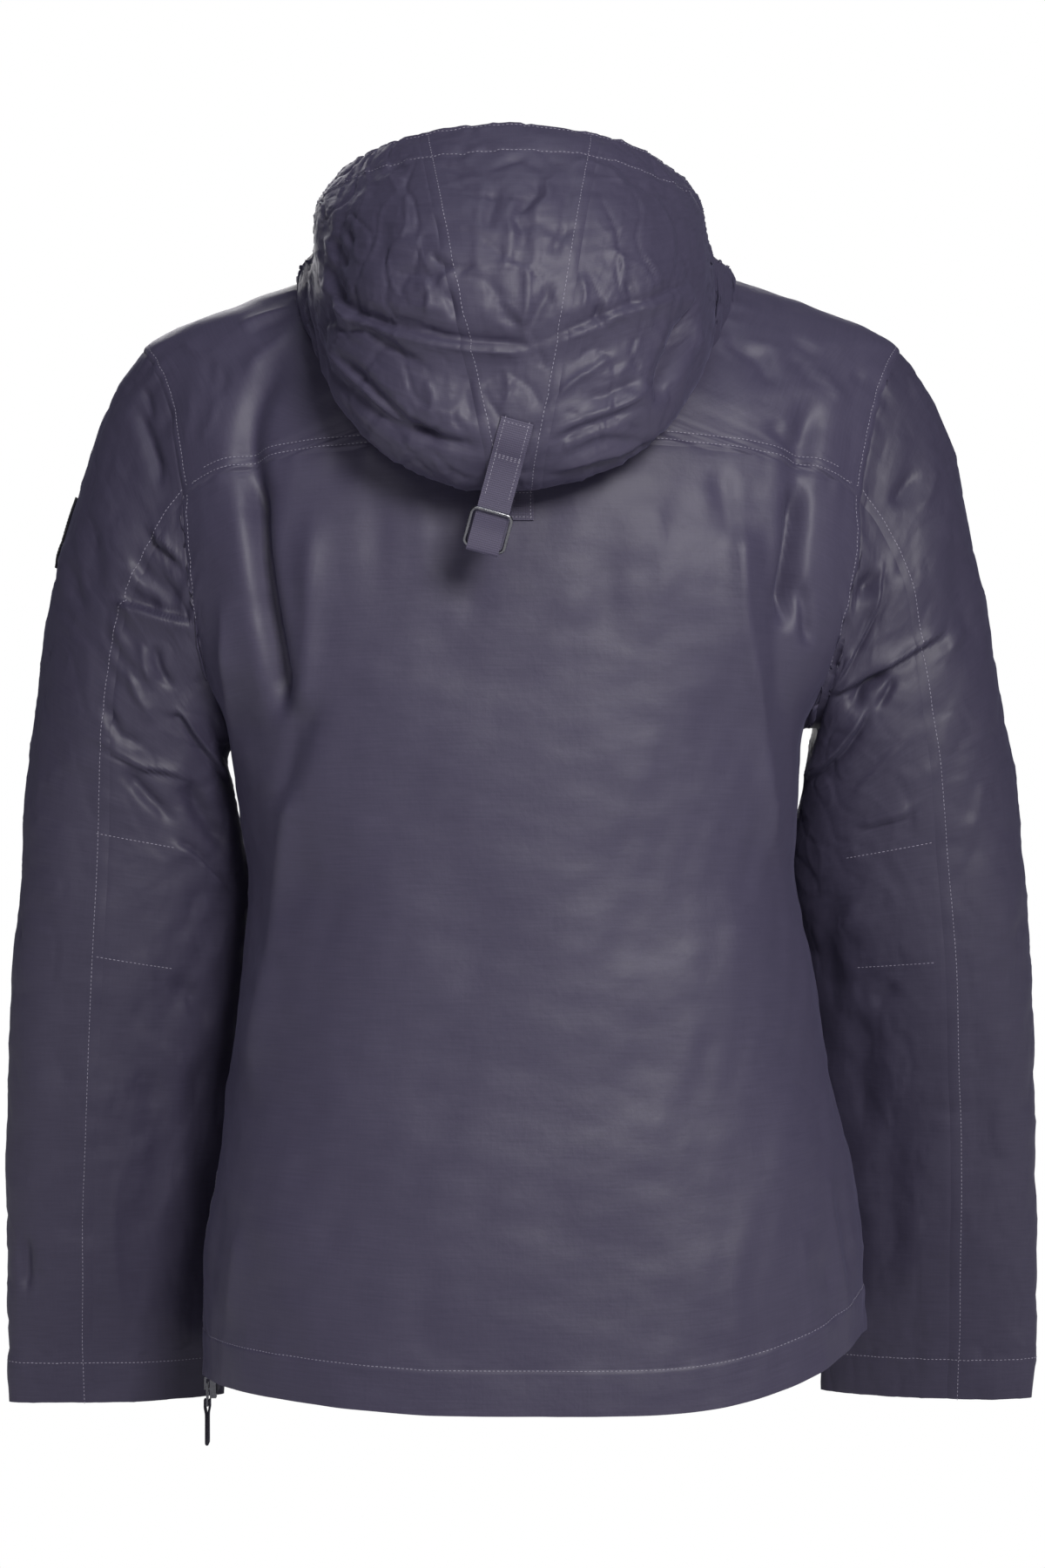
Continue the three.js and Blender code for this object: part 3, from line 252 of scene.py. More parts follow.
def curve_through(points: np.ndarray, steps: int) -> np.ndarray:
    """Smooth curve through a few points.

    Args:
        points: the points, one a row.
        steps: steps between two of them.

    Returns:
        The curve's points.
    """
    p = np.asarray(points, float)
    padded = np.concatenate([[2 * p[0] - p[1]], p, [2 * p[-1] - p[-2]]])
    t = (np.arange(steps) / steps)[:, None]
    runs = []
    for p0, p1, p2, p3 in zip(padded, padded[1:], padded[2:], padded[3:]):
        pull1, pull2 = (p2 - p0) / 2, (p3 - p1) / 2
        runs.append((2 * t**3 - 3 * t**2 + 1) * p1 + (t**3 - 2 * t**2 + t) * pull1
                    + (3 * t**2 - 2 * t**3) * p2 + (t**3 - t**2) * pull2)
    return np.concatenate(runs + [p[-1:]])


class BodyForm:
    """The body of the anorak as level rings, with its armholes and neck seam."""

    def __init__(self) -> None:
        """Reads the body table."""
        self.curve = table_curves(BODY_ROWS, "z")

    def depth(self, y: np.ndarray, z: np.ndarray) -> np.ndarray:
        """Depth of the ring at a height, towards the back or the front."""
        return np.where(y > 0, self.curve["back"](z), self.curve["front"](z))

    def reach(self, y: np.ndarray, z: np.ndarray) -> np.ndarray:
        """Half width of a ring at a fore-and-aft place."""
        n = self.curve["square"](z)
        return self.curve["half"](z) * (1 - np.abs(y / self.depth(y, z)) ** n) ** (1 / n)

    def point(self, angle: np.ndarray, z: np.ndarray) -> np.ndarray:
        """Points of the surface.

        Args:
            angle: degrees round the body, 0 at the wearer's left and 90 at the back.
            z: height.

        Returns:
            Points with x, y and z on the last axis.
        """
        angle, z = np.broadcast_arrays(np.asarray(angle, float), np.asarray(z, float))
        c, s = np.cos(np.radians(angle)), np.sin(np.radians(angle))
        bend = 2 / self.curve["square"](z)
        x = self.curve["shift"](z) + self.curve["half"](z) * power(c, bend)
        return np.stack([x, self.depth(s, z) * power(s, bend), z], axis=-1)

    def angle(self, x: np.ndarray, y: np.ndarray, z: np.ndarray) -> np.ndarray:
        """Angle of the surface's point at a place, from -90 to 270 degrees."""
        bend = self.curve["square"](z) / 2
        c = power((x - self.curve["shift"](z)) / self.curve["half"](z), bend)
        s = power(y / self.depth(y, z), bend)
        return np.mod(np.degrees(np.arctan2(s, c)) + 90, 360) - 90

    def height(self, x: np.ndarray, y: np.ndarray) -> np.ndarray:
        """Height at which the surface passes over a place in plan."""
        low, high = np.full(np.shape(x), -200.0), np.full(np.shape(x), 19.0)
        for _ in range(40):
            z = (low + high) / 2
            n = self.curve["square"](z)
            across = np.abs((x - self.curve["shift"](z)) / self.curve["half"](z)) ** n
            inside = across + np.abs(y / self.depth(y, z)) ** n < 1
            low, high = np.where(inside, z, low), np.where(inside, high, z)
        return (low + high) / 2

    def armhole(self, side: int, angle: np.ndarray) -> tuple[np.ndarray, np.ndarray]:
        """Body angle and height of armhole points.

        Args:
            side: 1 for the wearer's left, -1 for the right.
            angle: degrees round the armhole, 0 at the tip and 90 towards the back.

        Returns:
            The body angle and the height.
        """
        up = np.cos(np.radians(angle))
        z = mix(UNDERARM_Z, SHOULDER_TIP_Z, (1 + up) / 2)
        y = ARMHOLE_HALF_DEPTH * np.sin(np.radians(angle)) * (1 - ARMHOLE_EGG * up)
        return self.angle(self.curve["shift"](z) + side * self.reach(y, z), y, z), z

    def armhole_point(self, side: int, angle: np.ndarray) -> np.ndarray:
        """Points of the armhole seam."""
        return self.point(*self.armhole(side, angle))


@dataclass(frozen=True)
class SleeveHang:
    """Where along it a sleeve hangs against the body's side."""

    start: float = 0.8
    near: float = 2.4
    leave: float = 9.3
    gone: float = 11.5

    def share(self, at: np.ndarray) -> np.ndarray:
        """How much the body's side places the sleeve there."""
        come = smooth((at - self.start) / (self.near - self.start))
        return come * (1 - smooth((at - self.leave) / (self.gone - self.leave)))


class SleeveForm:
    """A sleeve as slanting sections from the armhole to the cuff."""

    def __init__(self, body: BodyForm) -> None:
        """Keeps the body that the sleeve is sewn to."""
        self.body = body
        self.curve = table_curves(SLEEVE_ROWS, "at")
        self.hang = SleeveHang()

    def inner_x(self, side: int, at: np.ndarray, mid: np.ndarray, out_x: np.ndarray) -> np.ndarray:
        """Sideways place of the inner line, just clear of the body's side.

        Args:
            side: 1 for the wearer's left, -1 for the right.
            at: place along the sleeve.
            mid: fore-and-aft place of the section.
            out_x: sideways place of the outer line.

        Returns:
            The inner line's sideways place.
        """
        near = np.full(np.shape(at), -1e9)
        for angle in SIDE_ANGLES:
            c, s = math.cos(math.radians(angle)), math.sin(math.radians(angle))
            share = (1 + c) / 2
            z = mix(self.curve["inZ"](at), self.curve["outZ"](at), share)
            y = mid + self.curve["turn"](at) * c + self.curve["depth"](at) * s
            clear = self.body.reach(y, z) + side * self.body.curve["shift"](z) + SLEEVE_CLEAR
            near = np.maximum(near, (clear - share * out_x) / (1 - share))
        return mix(self.curve["inX"](at), near, self.hang.share(at))

    def point(self, side: int, at: np.ndarray, angle: np.ndarray) -> np.ndarray:
        """Points of a sleeve's outer face.

        Args:
            side: 1 for the wearer's left, -1 for the right.
            at: place along the sleeve, 0 at the armhole and 12 at the cuff.
            angle: degrees round it, 0 outside and 90 at the back.

        Returns:
            Points with x, y and z on the last axis.
        """
        at, angle = np.broadcast_arrays(np.asarray(at, float), np.asarray(angle, float))
        c, s = np.cos(np.radians(angle)), np.sin(np.radians(angle))
        share = (1 + c) / 2
        mid = self.curve["mid"](at) - smooth((at - 6) / 4) * (RIGHT_SLEEVE_FORWARD if side < 0 else 0.0)
        out_x = self.curve["outX"](at) - (self.curve["slim"](at) if side < 0 else 0.0)
        x = mix(self.inner_x(side, at, mid, out_x), out_x, share)
        z = mix(self.curve["inZ"](at), self.curve["outZ"](at), share)
        y = mid + self.curve["turn"](at) * c + self.curve["depth"](at) * s
        cap = 1 - smooth(at / CAP_END)
        seam = self.body.armhole_point(1, angle)
        first = {name: SLEEVE_ROWS[name][0] for name in SLEEVE_ROWS}
        x = x + (seam[..., 0] - mix(first["inX"], first["outX"], share)) * cap
        y = y + (seam[..., 1] - first["depth"] * s) * cap
        z = z + (seam[..., 2] - mix(first["inZ"], first["outZ"], share)) * cap
        points = np.stack([side * x, y, z], axis=-1)
        start = self.body.armhole_point(side, angle)
        return np.where((at <= 1e-9)[..., None], start, points)


class HoodForm:
    """The hanging hood as closed loops from the neck seam, under the bag and up to the brim."""

    def __init__(self, body: BodyForm) -> None:
        """Keeps the body whose neck seam carries the hood."""
        self.body = body

    @staticmethod
    def loop_point(loop: HoodLoop, angle: np.ndarray) -> np.ndarray:
        """Points of a loop by their plan angle in degrees."""
        c, s = np.cos(np.radians(angle)), np.sin(np.radians(angle))
        across = power(c, 2 / loop.square)
        fall = (1 - np.minimum(1, across**2)) ** loop.sag
        y = np.where(s > 0, loop.back, loop.front) * power(s, 2 / loop.square)
        z = mix(loop.side_z, np.where(s > 0, loop.back_z, loop.front_z), fall) + loop.tilt * across
        return np.stack([loop.shift + loop.half * across, y, z], axis=-1)

    @staticmethod
    def loop_angle(loop: HoodLoop, x: np.ndarray) -> np.ndarray:
        """Plan angle at which a loop reaches a sideways place at the back."""
        across = np.clip((x - loop.shift) / loop.half, -1, 1)
        return np.degrees(np.arccos(power(across, loop.square / 2)))

    def columns(self, ring: "NeckRing") -> np.ndarray:
        """Control points of every hood column.

        Args:
            ring: the columns at the neck seam.

        Returns:
            An array of loops, columns and coordinates, the neck seam first.
        """
        rows = [self.body.point(*ring.neck_place(self.body))]
        for k, loop in enumerate(HOOD_LOOPS):
            share = smooth(k / 8)
            neck_angle = self.loop_angle(loop, ring.neck[:, 0])
            size = np.abs(ring.across)
            corner = self.loop_point(loop, np.array(BRIM_CORNER))[0] - loop.shift
            inner = CENTRE_PANEL_BRIM * size / CENTRE_SHARE
            outer = mix(CENTRE_PANEL_BRIM, corner, (size - CENTRE_SHARE) / (1 - CENTRE_SHARE))
            reach = np.where(size <= CENTRE_SHARE, inner, outer)
            place = loop.shift + np.sign(ring.across) * np.minimum(reach, loop.half)
            at_back = self.loop_angle(loop, place)
            start = np.where(ring.neck[:, 1] < 0, 360 - neck_angle, neck_angle)
            start = start + 360 * np.round((ring.brim - start) / 360)
            back_angle = mix(neck_angle, at_back, BACK_SPREAD[k])
            rows.append(self.loop_point(loop, np.where(ring.is_back, back_angle, mix(start, ring.brim, share))))
        return np.stack(rows)

    @staticmethod
    def sweep(control: np.ndarray, at: np.ndarray) -> np.ndarray:
        """Smooth centripetal curves through control points.

        Args:
            control: loops, columns and coordinates.
            at: rising places along the curves, from 0 to the last loop's number.

        Returns:
            Points by place, column and coordinate.
        """
        first = 2 * control[0] - control[1]
        last = 2 * control[-1] - control[-2]
        padded = np.concatenate([first[None], control, last[None]])
        i = np.minimum(at.astype(int), len(control) - 2)
        t = (at - i)[:, None, None]
        p0, p1, p2, p3 = (padded[i + k] for k in range(4))
        gap = [np.maximum(np.linalg.norm(b - a, axis=-1, keepdims=True) ** 0.5, 1e-4)
               for a, b in ((p0, p1), (p1, p2), (p2, p3))]
        m1 = (p1 - p0) / gap[0] - (p2 - p0) / (gap[0] + gap[1]) + (p2 - p1) / gap[1]
        m2 = (p2 - p1) / gap[1] - (p3 - p1) / (gap[1] + gap[2]) + (p3 - p2) / gap[2]
        m1, m2 = m1 * gap[1], m2 * gap[1]
        t2, t3 = t * t, t * t * t
        return ((2 * t3 - 3 * t2 + 1) * p1 + (t3 - 2 * t2 + t) * m1
                + (3 * t2 - 2 * t3) * p2 + (t3 - t2) * m2)


class NeckRing:
    """The columns that the yoke and the hood share, round from the left front corner."""

    def __init__(self, arm: int, back: int, front: int) -> None:
        """Lays the columns out.

        Args:
            arm: columns along each armhole.
            back: columns along the back yoke seam.
            front: columns along the front yoke seam.
        """
        self.arm, self.back, self.front = arm, back, front
        t_arm, t_back, t_front = (np.arange(n) / n for n in (arm, back, front))
        s = 1 - 2 * t_back
        size = np.abs(s)
        reach = self.plan(np.array([NECK_CORNER]))[0, 0] - NECK["shift"]
        inner = CENTRE_PANEL_NECK * size / CENTRE_SHARE
        outer = mix(CENTRE_PANEL_NECK, reach, (size - CENTRE_SHARE) / (1 - CENTRE_SHARE))
        x = NECK["shift"] + np.sign(s) * np.where(size <= CENTRE_SHARE, inner, outer)
        n = NECK["square"]
        y = NECK["back"] * (1 - np.abs((x - NECK["shift"]) / NECK["half"]) ** n) ** (1 / n)
        self.neck = np.concatenate([
            self.plan(mix(-NECK_CORNER, NECK_CORNER, t_arm)),
            np.stack([x, y], axis=-1),
            self.plan(mix(180 - NECK_CORNER, 180 + NECK_CORNER, t_arm)),
            self.plan(mix(180 + NECK_CORNER, 360 - NECK_CORNER, t_front)),
        ])
        self.brim = np.concatenate([
            mix(-BRIM_CORNER, BRIM_CORNER, t_arm),
            np.full(back, 90.0),
            mix(180 - BRIM_CORNER, 180 + BRIM_CORNER, t_arm),
            mix(180 + BRIM_CORNER, 360 - BRIM_CORNER, t_front),
        ])
        self.across = np.concatenate([np.zeros(arm), s, np.zeros(arm + front)])
        self.is_back = np.zeros(len(self.brim), bool)
        self.is_back[arm:arm + back] = True

    @staticmethod
    def plan(angle: np.ndarray) -> np.ndarray:
        """Neck seam points in plan by their angle."""
        c, s = np.cos(np.radians(angle)), np.sin(np.radians(angle))
        bend = 2 / NECK["square"]
        depth = np.where(s > 0, NECK["back"], NECK["front"])
        return np.stack([NECK["shift"] + NECK["half"] * power(c, bend), depth * power(s, bend)], axis=-1)

    def neck_place(self, body: BodyForm) -> tuple[np.ndarray, np.ndarray]:
        """Body angle and height of every column at the neck seam."""
        x, y = self.neck[:, 0], self.neck[:, 1]
        z = body.height(x, y)
        return body.angle(x, y, z), z

    def edge_place(self, body: BodyForm) -> tuple[np.ndarray, np.ndarray]:
        """Body angle and height of every column at the yoke's outer edge."""
        t = np.arange(self.arm) / self.arm
        left = body.armhole(1, mix(-SEAM_ANGLE, SEAM_ANGLE, t))
        right = body.armhole(-1, mix(SEAM_ANGLE, -SEAM_ANGLE, t))
        back = seam_line(body, True, np.arange(self.back) / self.back)
        front = seam_line(body, False, 1 - np.arange(self.front) / self.front)
        parts = (left, back, right, front)
        return tuple(np.concatenate([part[i] for part in parts]) for i in range(2))


def panel_ends(body: BodyForm, to_back: bool) -> tuple[float, float, float]:
    """Left and right body angles and the height of a body panel's upper corners."""
    sign = 1 if to_back else -1
    left, z = body.armhole(1, np.array(sign * SEAM_ANGLE))
    right = float(body.armhole(-1, np.array(sign * SEAM_ANGLE))[0])
    if not to_back:
        right -= 360 * round((right - float(left) + 150) / 360)
    return float(left), right, float(z)


@dataclass(frozen=True)
class SeamBunch:
    """The stretch of the back yoke seam that is drawn up beside the right fold."""

    lift: float = 1.5
    start: float = 50.0
    full: float = 105.0
    drop: float = 130.0
    end: float = 182.0

    def __call__(self, x: np.ndarray) -> np.ndarray:
        """Rise of the seam at a sideways place."""
        rise = smooth((-x - self.start) / (self.full - self.start))
        return self.lift * rise * (1 - smooth((-x - self.drop) / (self.end - self.drop)))


SEAM_BUNCH = SeamBunch()


def seam_line(body: BodyForm, to_back: bool, t: np.ndarray) -> tuple[np.ndarray, np.ndarray]:
    """Body angle and height along a yoke seam, t running from the wearer's left."""
    left, right, z = panel_ends(body, to_back)
    angle = mix(left, right, crowded(t))
    if not to_back:
        return angle, z + FRONT_SEAM_DROP * (1 - (2 * t - 1) ** 2)
    z = z + BACK_SEAM_DROP * (1 - (2 * t - 1) ** 2)
    return angle, z + SEAM_BUNCH(body.point(angle, z)[..., 0])


class Lie(Enum):
    """How a crease lies in the cloth."""

    TROUGH = "trough"
    RIDGE = "ridge"
    LAP = "lap"


@dataclass(frozen=True)
class Crease:
    """One crease along a smooth line, seen from behind or from the front, in millimetres.

    On a lap, the cloth on the left of the line's own way, as it is seen from behind, lies on top.
    """

    line: tuple[tuple[float, float], ...]
    wide: float
    deep: float
    lie: Lie = Lie.TROUGH
    ends: float = 0.3

    def profile(self, off: np.ndarray) -> np.ndarray:
        """Depth across the crease, from 1 at its deepest, by the signed distance from its line."""
        away = np.abs(off) / self.wide
        if self.lie is Lie.TROUGH:
            return np.exp(-(away**2))
        if self.lie is Lie.RIDGE:
            return -np.exp(-1.5 * (np.sqrt(away**2 + 0.02) - 0.14))
        over = 0.5 + 0.5 * np.tanh(off / 1.1)
        lip = -np.exp(-away * 1.1)
        under = 0.8 * np.exp(-away * 1.9)
        return mix(under, lip, over)

    def depth(self, x: np.ndarray, z: np.ndarray) -> np.ndarray:
        """How deep the crease lies at places seen from behind."""
        path = curve_through(np.array(self.line), 5)
        run = np.diff(path, axis=0)
        length = np.linalg.norm(run, axis=1)
        at = np.concatenate([[0], np.cumsum(length)])
        best = np.full(np.shape(x), 1e9)
        off, share = np.zeros_like(best), np.zeros_like(best)
        for (px, pz), (rx, rz), size, start in zip(path, run, length, at):
            t = np.clip(((x - px) * rx + (z - pz) * rz) / size**2, 0, 1)
            dx, dz = x - px - rx * t, z - pz - rz * t
            away = np.hypot(dx, dz)
            nearer = away < best
            best = np.where(nearer, away, best)
            off = np.where(nearer, np.sign(rz * dx - rx * dz) * away, off)
            share = np.where(nearer, (start + t * size) / at[-1], share)
        taper = smooth(share / self.ends) * smooth((1 - share) / self.ends)
        return self.deep * self.profile(off) * taper


def crease_depth(creases: tuple[Crease, ...], x: np.ndarray, z: np.ndarray, where: np.ndarray) -> np.ndarray:
    """Summed depth of many creases, each worked out only near its line.

    Args:
        creases: the creases.
        x: sideways places.
        z: heights.
        where: share of the depth that each place takes.

    Returns:
        The depth at each place.
    """
    total = np.zeros(x.size)
    flat_x, flat_z, share = x.ravel(), z.ravel(), where.ravel()
    for crease in creases:
        line, room = np.array(crease.line), 4 * crease.wide + 4
        low, high = line.min(axis=0) - room, line.max(axis=0) + room
        near = (flat_x > low[0]) & (flat_x < high[0]) & (flat_z > low[1]) & (flat_z < high[1]) & (share > 0)
        total[near] += crease.depth(flat_x[near], flat_z[near]) * share[near]
    return total.reshape(x.shape)


def sharper(creases: tuple[Crease, ...], deep: float, wide: float) -> tuple[Crease, ...]:
    """The same creases, their depths and widths multiplied."""
    return tuple(replace(crease, deep=crease.deep * deep, wide=crease.wide * wide) for crease in creases)


def mirrored(creases: tuple[Crease, ...], x: float, z: float, size: float) -> tuple[Crease, ...]:
    """The same kind of creases for a hidden side, moved and made weaker or stronger.

    Args:
        creases: the creases to start from.
        x: how far they move sideways.
        z: how far they move up.
        size: what their depths are multiplied by.

    Returns:
        The new creases.
    """
    return tuple(Crease(tuple((-a + x, b + z) for a, b in crease.line), crease.wide, crease.deep * size,
                        crease.lie, crease.ends) for crease in creases)


# Creases of the back panel, from the deep folds beside the shoulder blades to the hem's corners
BACK_CREASES = (
    Crease(((149, -50), (160, -66), (170, -84), (174, -103), (173, -122), (169, -143), (166, -165)), 10, 9, ends=0.35),
    Crease(((172, -120), (167, -160), (162, -195), (159, -217), (155, -241), (152, -266), (151, -290)), 8, 15, ends=0.2),
    Crease(((158, -150), (156, -190), (151, -235), (147, -275)), 7, -2.5, ends=0.35),
    Crease(((134, -264), (138, -287), (142, -309), (147, -330), (151, -345)), 9, 7),
    Crease(((131, -140), (131, -185), (132, -217), (134, -249), (137, -279), (140, -309), (145, -336),
            (152, -379), (160, -433), (169, -480), (178, -530)), 15, 5.5, Lie.RIDGE, 0.16),
    Crease(((189, -200), (187, -239), (186, -271), (183, -303), (178, -335)), 7, 3.5, Lie.RIDGE),
    Crease(((-184, -74), (-181, -95), (-177, -118), (-174, -143)), 9, 7, ends=0.4),
    Crease(((-176, -128), (-172, -160), (-169, -185), (-167, -212), (-166, -232)), 7, 14, ends=0.25),
    Crease(((-165, -232), (-165, -205), (-167, -175), (-170, -150)), 5, 3, Lie.LAP),
    Crease(((-177, -196), (-179, -217), (-180, -241)), 4, 4),
    Crease(((-133, -135), (-136, -170), (-139, -217), (-144, -249), (-148, -276), (-153, -314), (-158, -347),
            (-163, -385)), 13, 5, Lie.RIDGE, 0.18),
    Crease(((-120, -122), (-129, -152), (-136, -180)), 9, 2.5),
    Crease(((-147, -150), (-157, -195), (-162, -245), (-165, -300)), 9, 3.5),
    Crease(((-208, -672), (-203, -633), (-197, -595), (-193, -557)), 6, 2.2, Lie.RIDGE),
    Crease(((-198, -675), (-195, -644), (-189, -612)), 5, 1.8),
    Crease(((-212, -650), (-207, -611), (-201, -574)), 5, 1.8),
    Crease(((-184, -680), (-180, -650), (-176, -600)), 6, 1.6, Lie.RIDGE),
    Crease(((189, -672), (184, -638), (179, -600)), 7, 2, Lie.RIDGE),
    Crease(((201, -660), (196, -620), (190, -580)), 6, 1.6),
    Crease(((-136, -688), (-133, -649), (-136, -612)), 8, 1.3, Lie.RIDGE),
    Crease(((60, -690), (63, -650), (58, -600)), 9, 1.2),
    Crease(((0, -690), (-6, -650), (-2, -590)), 10, 1.1, Lie.RIDGE),
    Crease(((92, -138), (89, -174), (91, -225)), 10, 1.6),
    Crease(((66, -132), (62, -165), (64, -200)), 8, 1.1, Lie.RIDGE),
    Crease(((30, -152), (28, -185), (31, -235)), 12, 1.5),
    Crease(((-54, -140), (-51, -185), (-55, -245)), 12, 1.6),
    Crease(((-86, -136), (-84, -170), (-88, -215)), 9, 1.3, Lie.RIDGE),
    Crease(((60, -300), (40, -420), (62, -560)), 34, 1.8),
    Crease(((-40, -320), (-70, -440), (-60, -580)), 36, 1.8),
)
# Creases of the yoke's back
YOKE_CREASES = (
    Crease(((145, -20), (158, -23), (173, -28), (188, -35)), 4, 2.0, Lie.RIDGE),
    Crease(((146, -27), (160, -30), (177, -37)), 4, 2.0),
    Crease(((146, -36), (158, -46), (170, -55), (177, -68)), 6, 2.8, Lie.RIDGE),
    Crease(((222, -39), (212, -46), (201, -50), (190, -49)), 4, 1.6, Lie.RIDGE),
    Crease(((193, -56), (191, -69), (197, -77)), 3.5, 1.6),
    Crease(((193, -74), (198, -94), (207, -108)), 5, 1.5, Lie.RIDGE),
    Crease(((199, -48), (201, -61), (199, -74)), 5, 1.3),
    Crease(((214, -70), (212, -90), (218, -112)), 6, 1.3, Lie.RIDGE),
    Crease(((-128, -40), (-140, -49), (-151, -57)), 5, 2.6),
    Crease(((-149, -46), (-154, -61), (-160, -74)), 6, 2.4),
    Crease(((-135, -44), (-154, -45), (-172, -51)), 5, 1.8, Lie.RIDGE),
    Crease(((-163, -50), (-179, -58), (-187, -74)), 7, 2.2),
    Crease(((-172, -37), (-181, -45), (-192, -52)), 4, 2.0),
    Crease(((-182, -52), (-186, -62), (-195, -67), (-203, -78), (-213, -82)), 5, 2.0, Lie.RIDGE),
    Crease(((-155, -93), (-165, -105), (-178, -114)), 6, 2.6),
    Crease(((-212, -60), (-220, -67)), 3, 1.4),
    Crease(((-205, -58), (-203, -68), (-196, -62)), 4, 1.2),
)
# Creases of the wearer's left sleeve, around the armhole, the elbow and down to the cuff
LEFT_SLEEVE_CREASES = (
    Crease(((251, -76), (242, -100), (235, -118), (231, -140)), 5, 3.5),
    Crease(((246, -66), (242, -78), (239, -92)), 3.5, 2.0),
    Crease(((244, -158), (238, -165), (229, -174), (219, -183), (210, -194), (203, -206), (196, -218)), 7, 4.5, Lie.LAP),
    Crease(((254, -196), (243, -206), (229, -214)), 6, 3),
    Crease(((194, -226), (210, -221), (229, -217), (246, -212), (265, -206)), 9, 6.5, Lie.LAP, 0.25),
    Crease(((252, -176), (240, -190), (226, -202), (212, -210)), 7, 3.5),
    Crease(((235, -234), (233, -247), (229, -257), (220, -263)), 4, 3.0),
    Crease(((243, -232), (241, -250), (236, -266)), 6, 2.2, Lie.RIDGE),
    Crease(((235, -286), (226, -281), (219, -281), (212, -293), (201, -309), (191, -323), (184, -340)), 6, 4.0, Lie.LAP),
    Crease(((290, -292), (272, -299), (256, -309), (244, -316), (229, -318), (208, -326)), 6, 3.4, Lie.LAP),
    Crease(((259, -314), (247, -326), (240, -334), (232, -342), (223, -352)), 5, 3.6),
    Crease(((218, -322), (208, -342), (200, -356), (191, -371)), 7, 6.0),
    Crease(((190, -398), (201, -384), (212, -371), (219, -366), (229, -360)), 7, 4.0, Lie.LAP, 0.25),
    Crease(((268, -270), (262, -286), (256, -295), (241, -299)), 4, 2.4),
    Crease(((254, -248), (246, -269), (234, -288)), 6, 2.4, Lie.RIDGE),
    Crease(((206, -250), (201, -263), (191, -278)), 5, 4.0),
    Crease(((294, -178), (288, -202), (281, -215)), 5, 1.8),
    Crease(((282, -150), (274, -180), (276, -210)), 8, 2.0),
    Crease(((326, -618), (327, -641), (327, -665)), 5, 3.4),
    Crease(((329, -647), (321, -648), (314, -646)), 3.5, 1.8),
    Crease(((252, -495), (240, -543), (234, -605)), 13, 2.2),
    Crease(((210, -493), (212, -549), (208, -620)), 11, 2.4),
    Crease(((302, -465), (298, -549), (302, -640)), 15, 2.0),
    Crease(((231, -450), (215, -465), (203, -487)), 7, 2.6),
    Crease(((262, -560), (270, -620), (266, -690)), 11, 1.6, Lie.RIDGE),
)
# Creases of the wearer's right sleeve
RIGHT_SLEEVE_CREASES = (
    Crease(((-231, -188), (-220, -196), (-206, -206), (-196, -220), (-190, -236), (-187, -250)), 7, 11),
    Crease(((-197, -271), (-206, -253), (-217, -233), (-226, -213), (-229, -197), (-231, -180)), 7, 4.5, Lie.LAP),
    Crease(((-196, -270), (-223, -257), (-241, -247), (-252, -240), (-262, -234), (-275, -226)), 8, 5.5, Lie.LAP, 0.2),
    Crease(((-237, -254), (-224, -258), (-215, -265), (-211, -280)), 6, 6.0),
    Crease(((-239, -256), (-234, -266), (-227, -278)), 3, 3.0),
    Crease(((-178, -327), (-193, -315), (-204, -305), (-210, -297), (-218, -285), (-222, -274)), 8, 6.5, Lie.LAP),
    Crease(((-250, -293), (-236, -307), (-224, -321), (-209, -336)), 4, 1.6, Lie.RIDGE),
    Crease(((-213, -354), (-230, -351), (-246, -345), (-258, -337)), 6, 3.2, Lie.LAP),
    Crease(((-225, -211), (-218, -225), (-209, -246)), 5, 3.0),
    Crease(((-271, -249), (-276, -237), (-288, -221)), 6, 1.8, Lie.RIDGE),
    Crease(((-299, -319), (-295, -336), (-289, -361)), 6, 1.4, Lie.RIDGE),
    Crease(((-222, -396), (-210, -416), (-188, -436)), 9, 2.4, Lie.RIDGE),
    Crease(((-245, -456), (-236, -464), (-228, -470)), 5, 2.4),
    Crease(((-215, -463), (-224, -510), (-226, -570)), 12, 2.6),
    Crease(((-252, -520), (-244, -590), (-250, -670)), 12, 2.0),
    Crease(((-296, -448), (-300, -521), (-296, -610)), 14, 2.0),
    Crease(((-280, -155), (-282, -202), (-291, -250)), 10, 2.2),
    Crease(((-236, -147), (-245, -135), (-254, -122)), 5, 2.8),
    Crease(((-252, -150), (-262, -140), (-268, -120)), 6, 1.8, Lie.RIDGE),
    Crease(((-205, -390), (-200, -430), (-206, -480)), 9, 2.6),
)
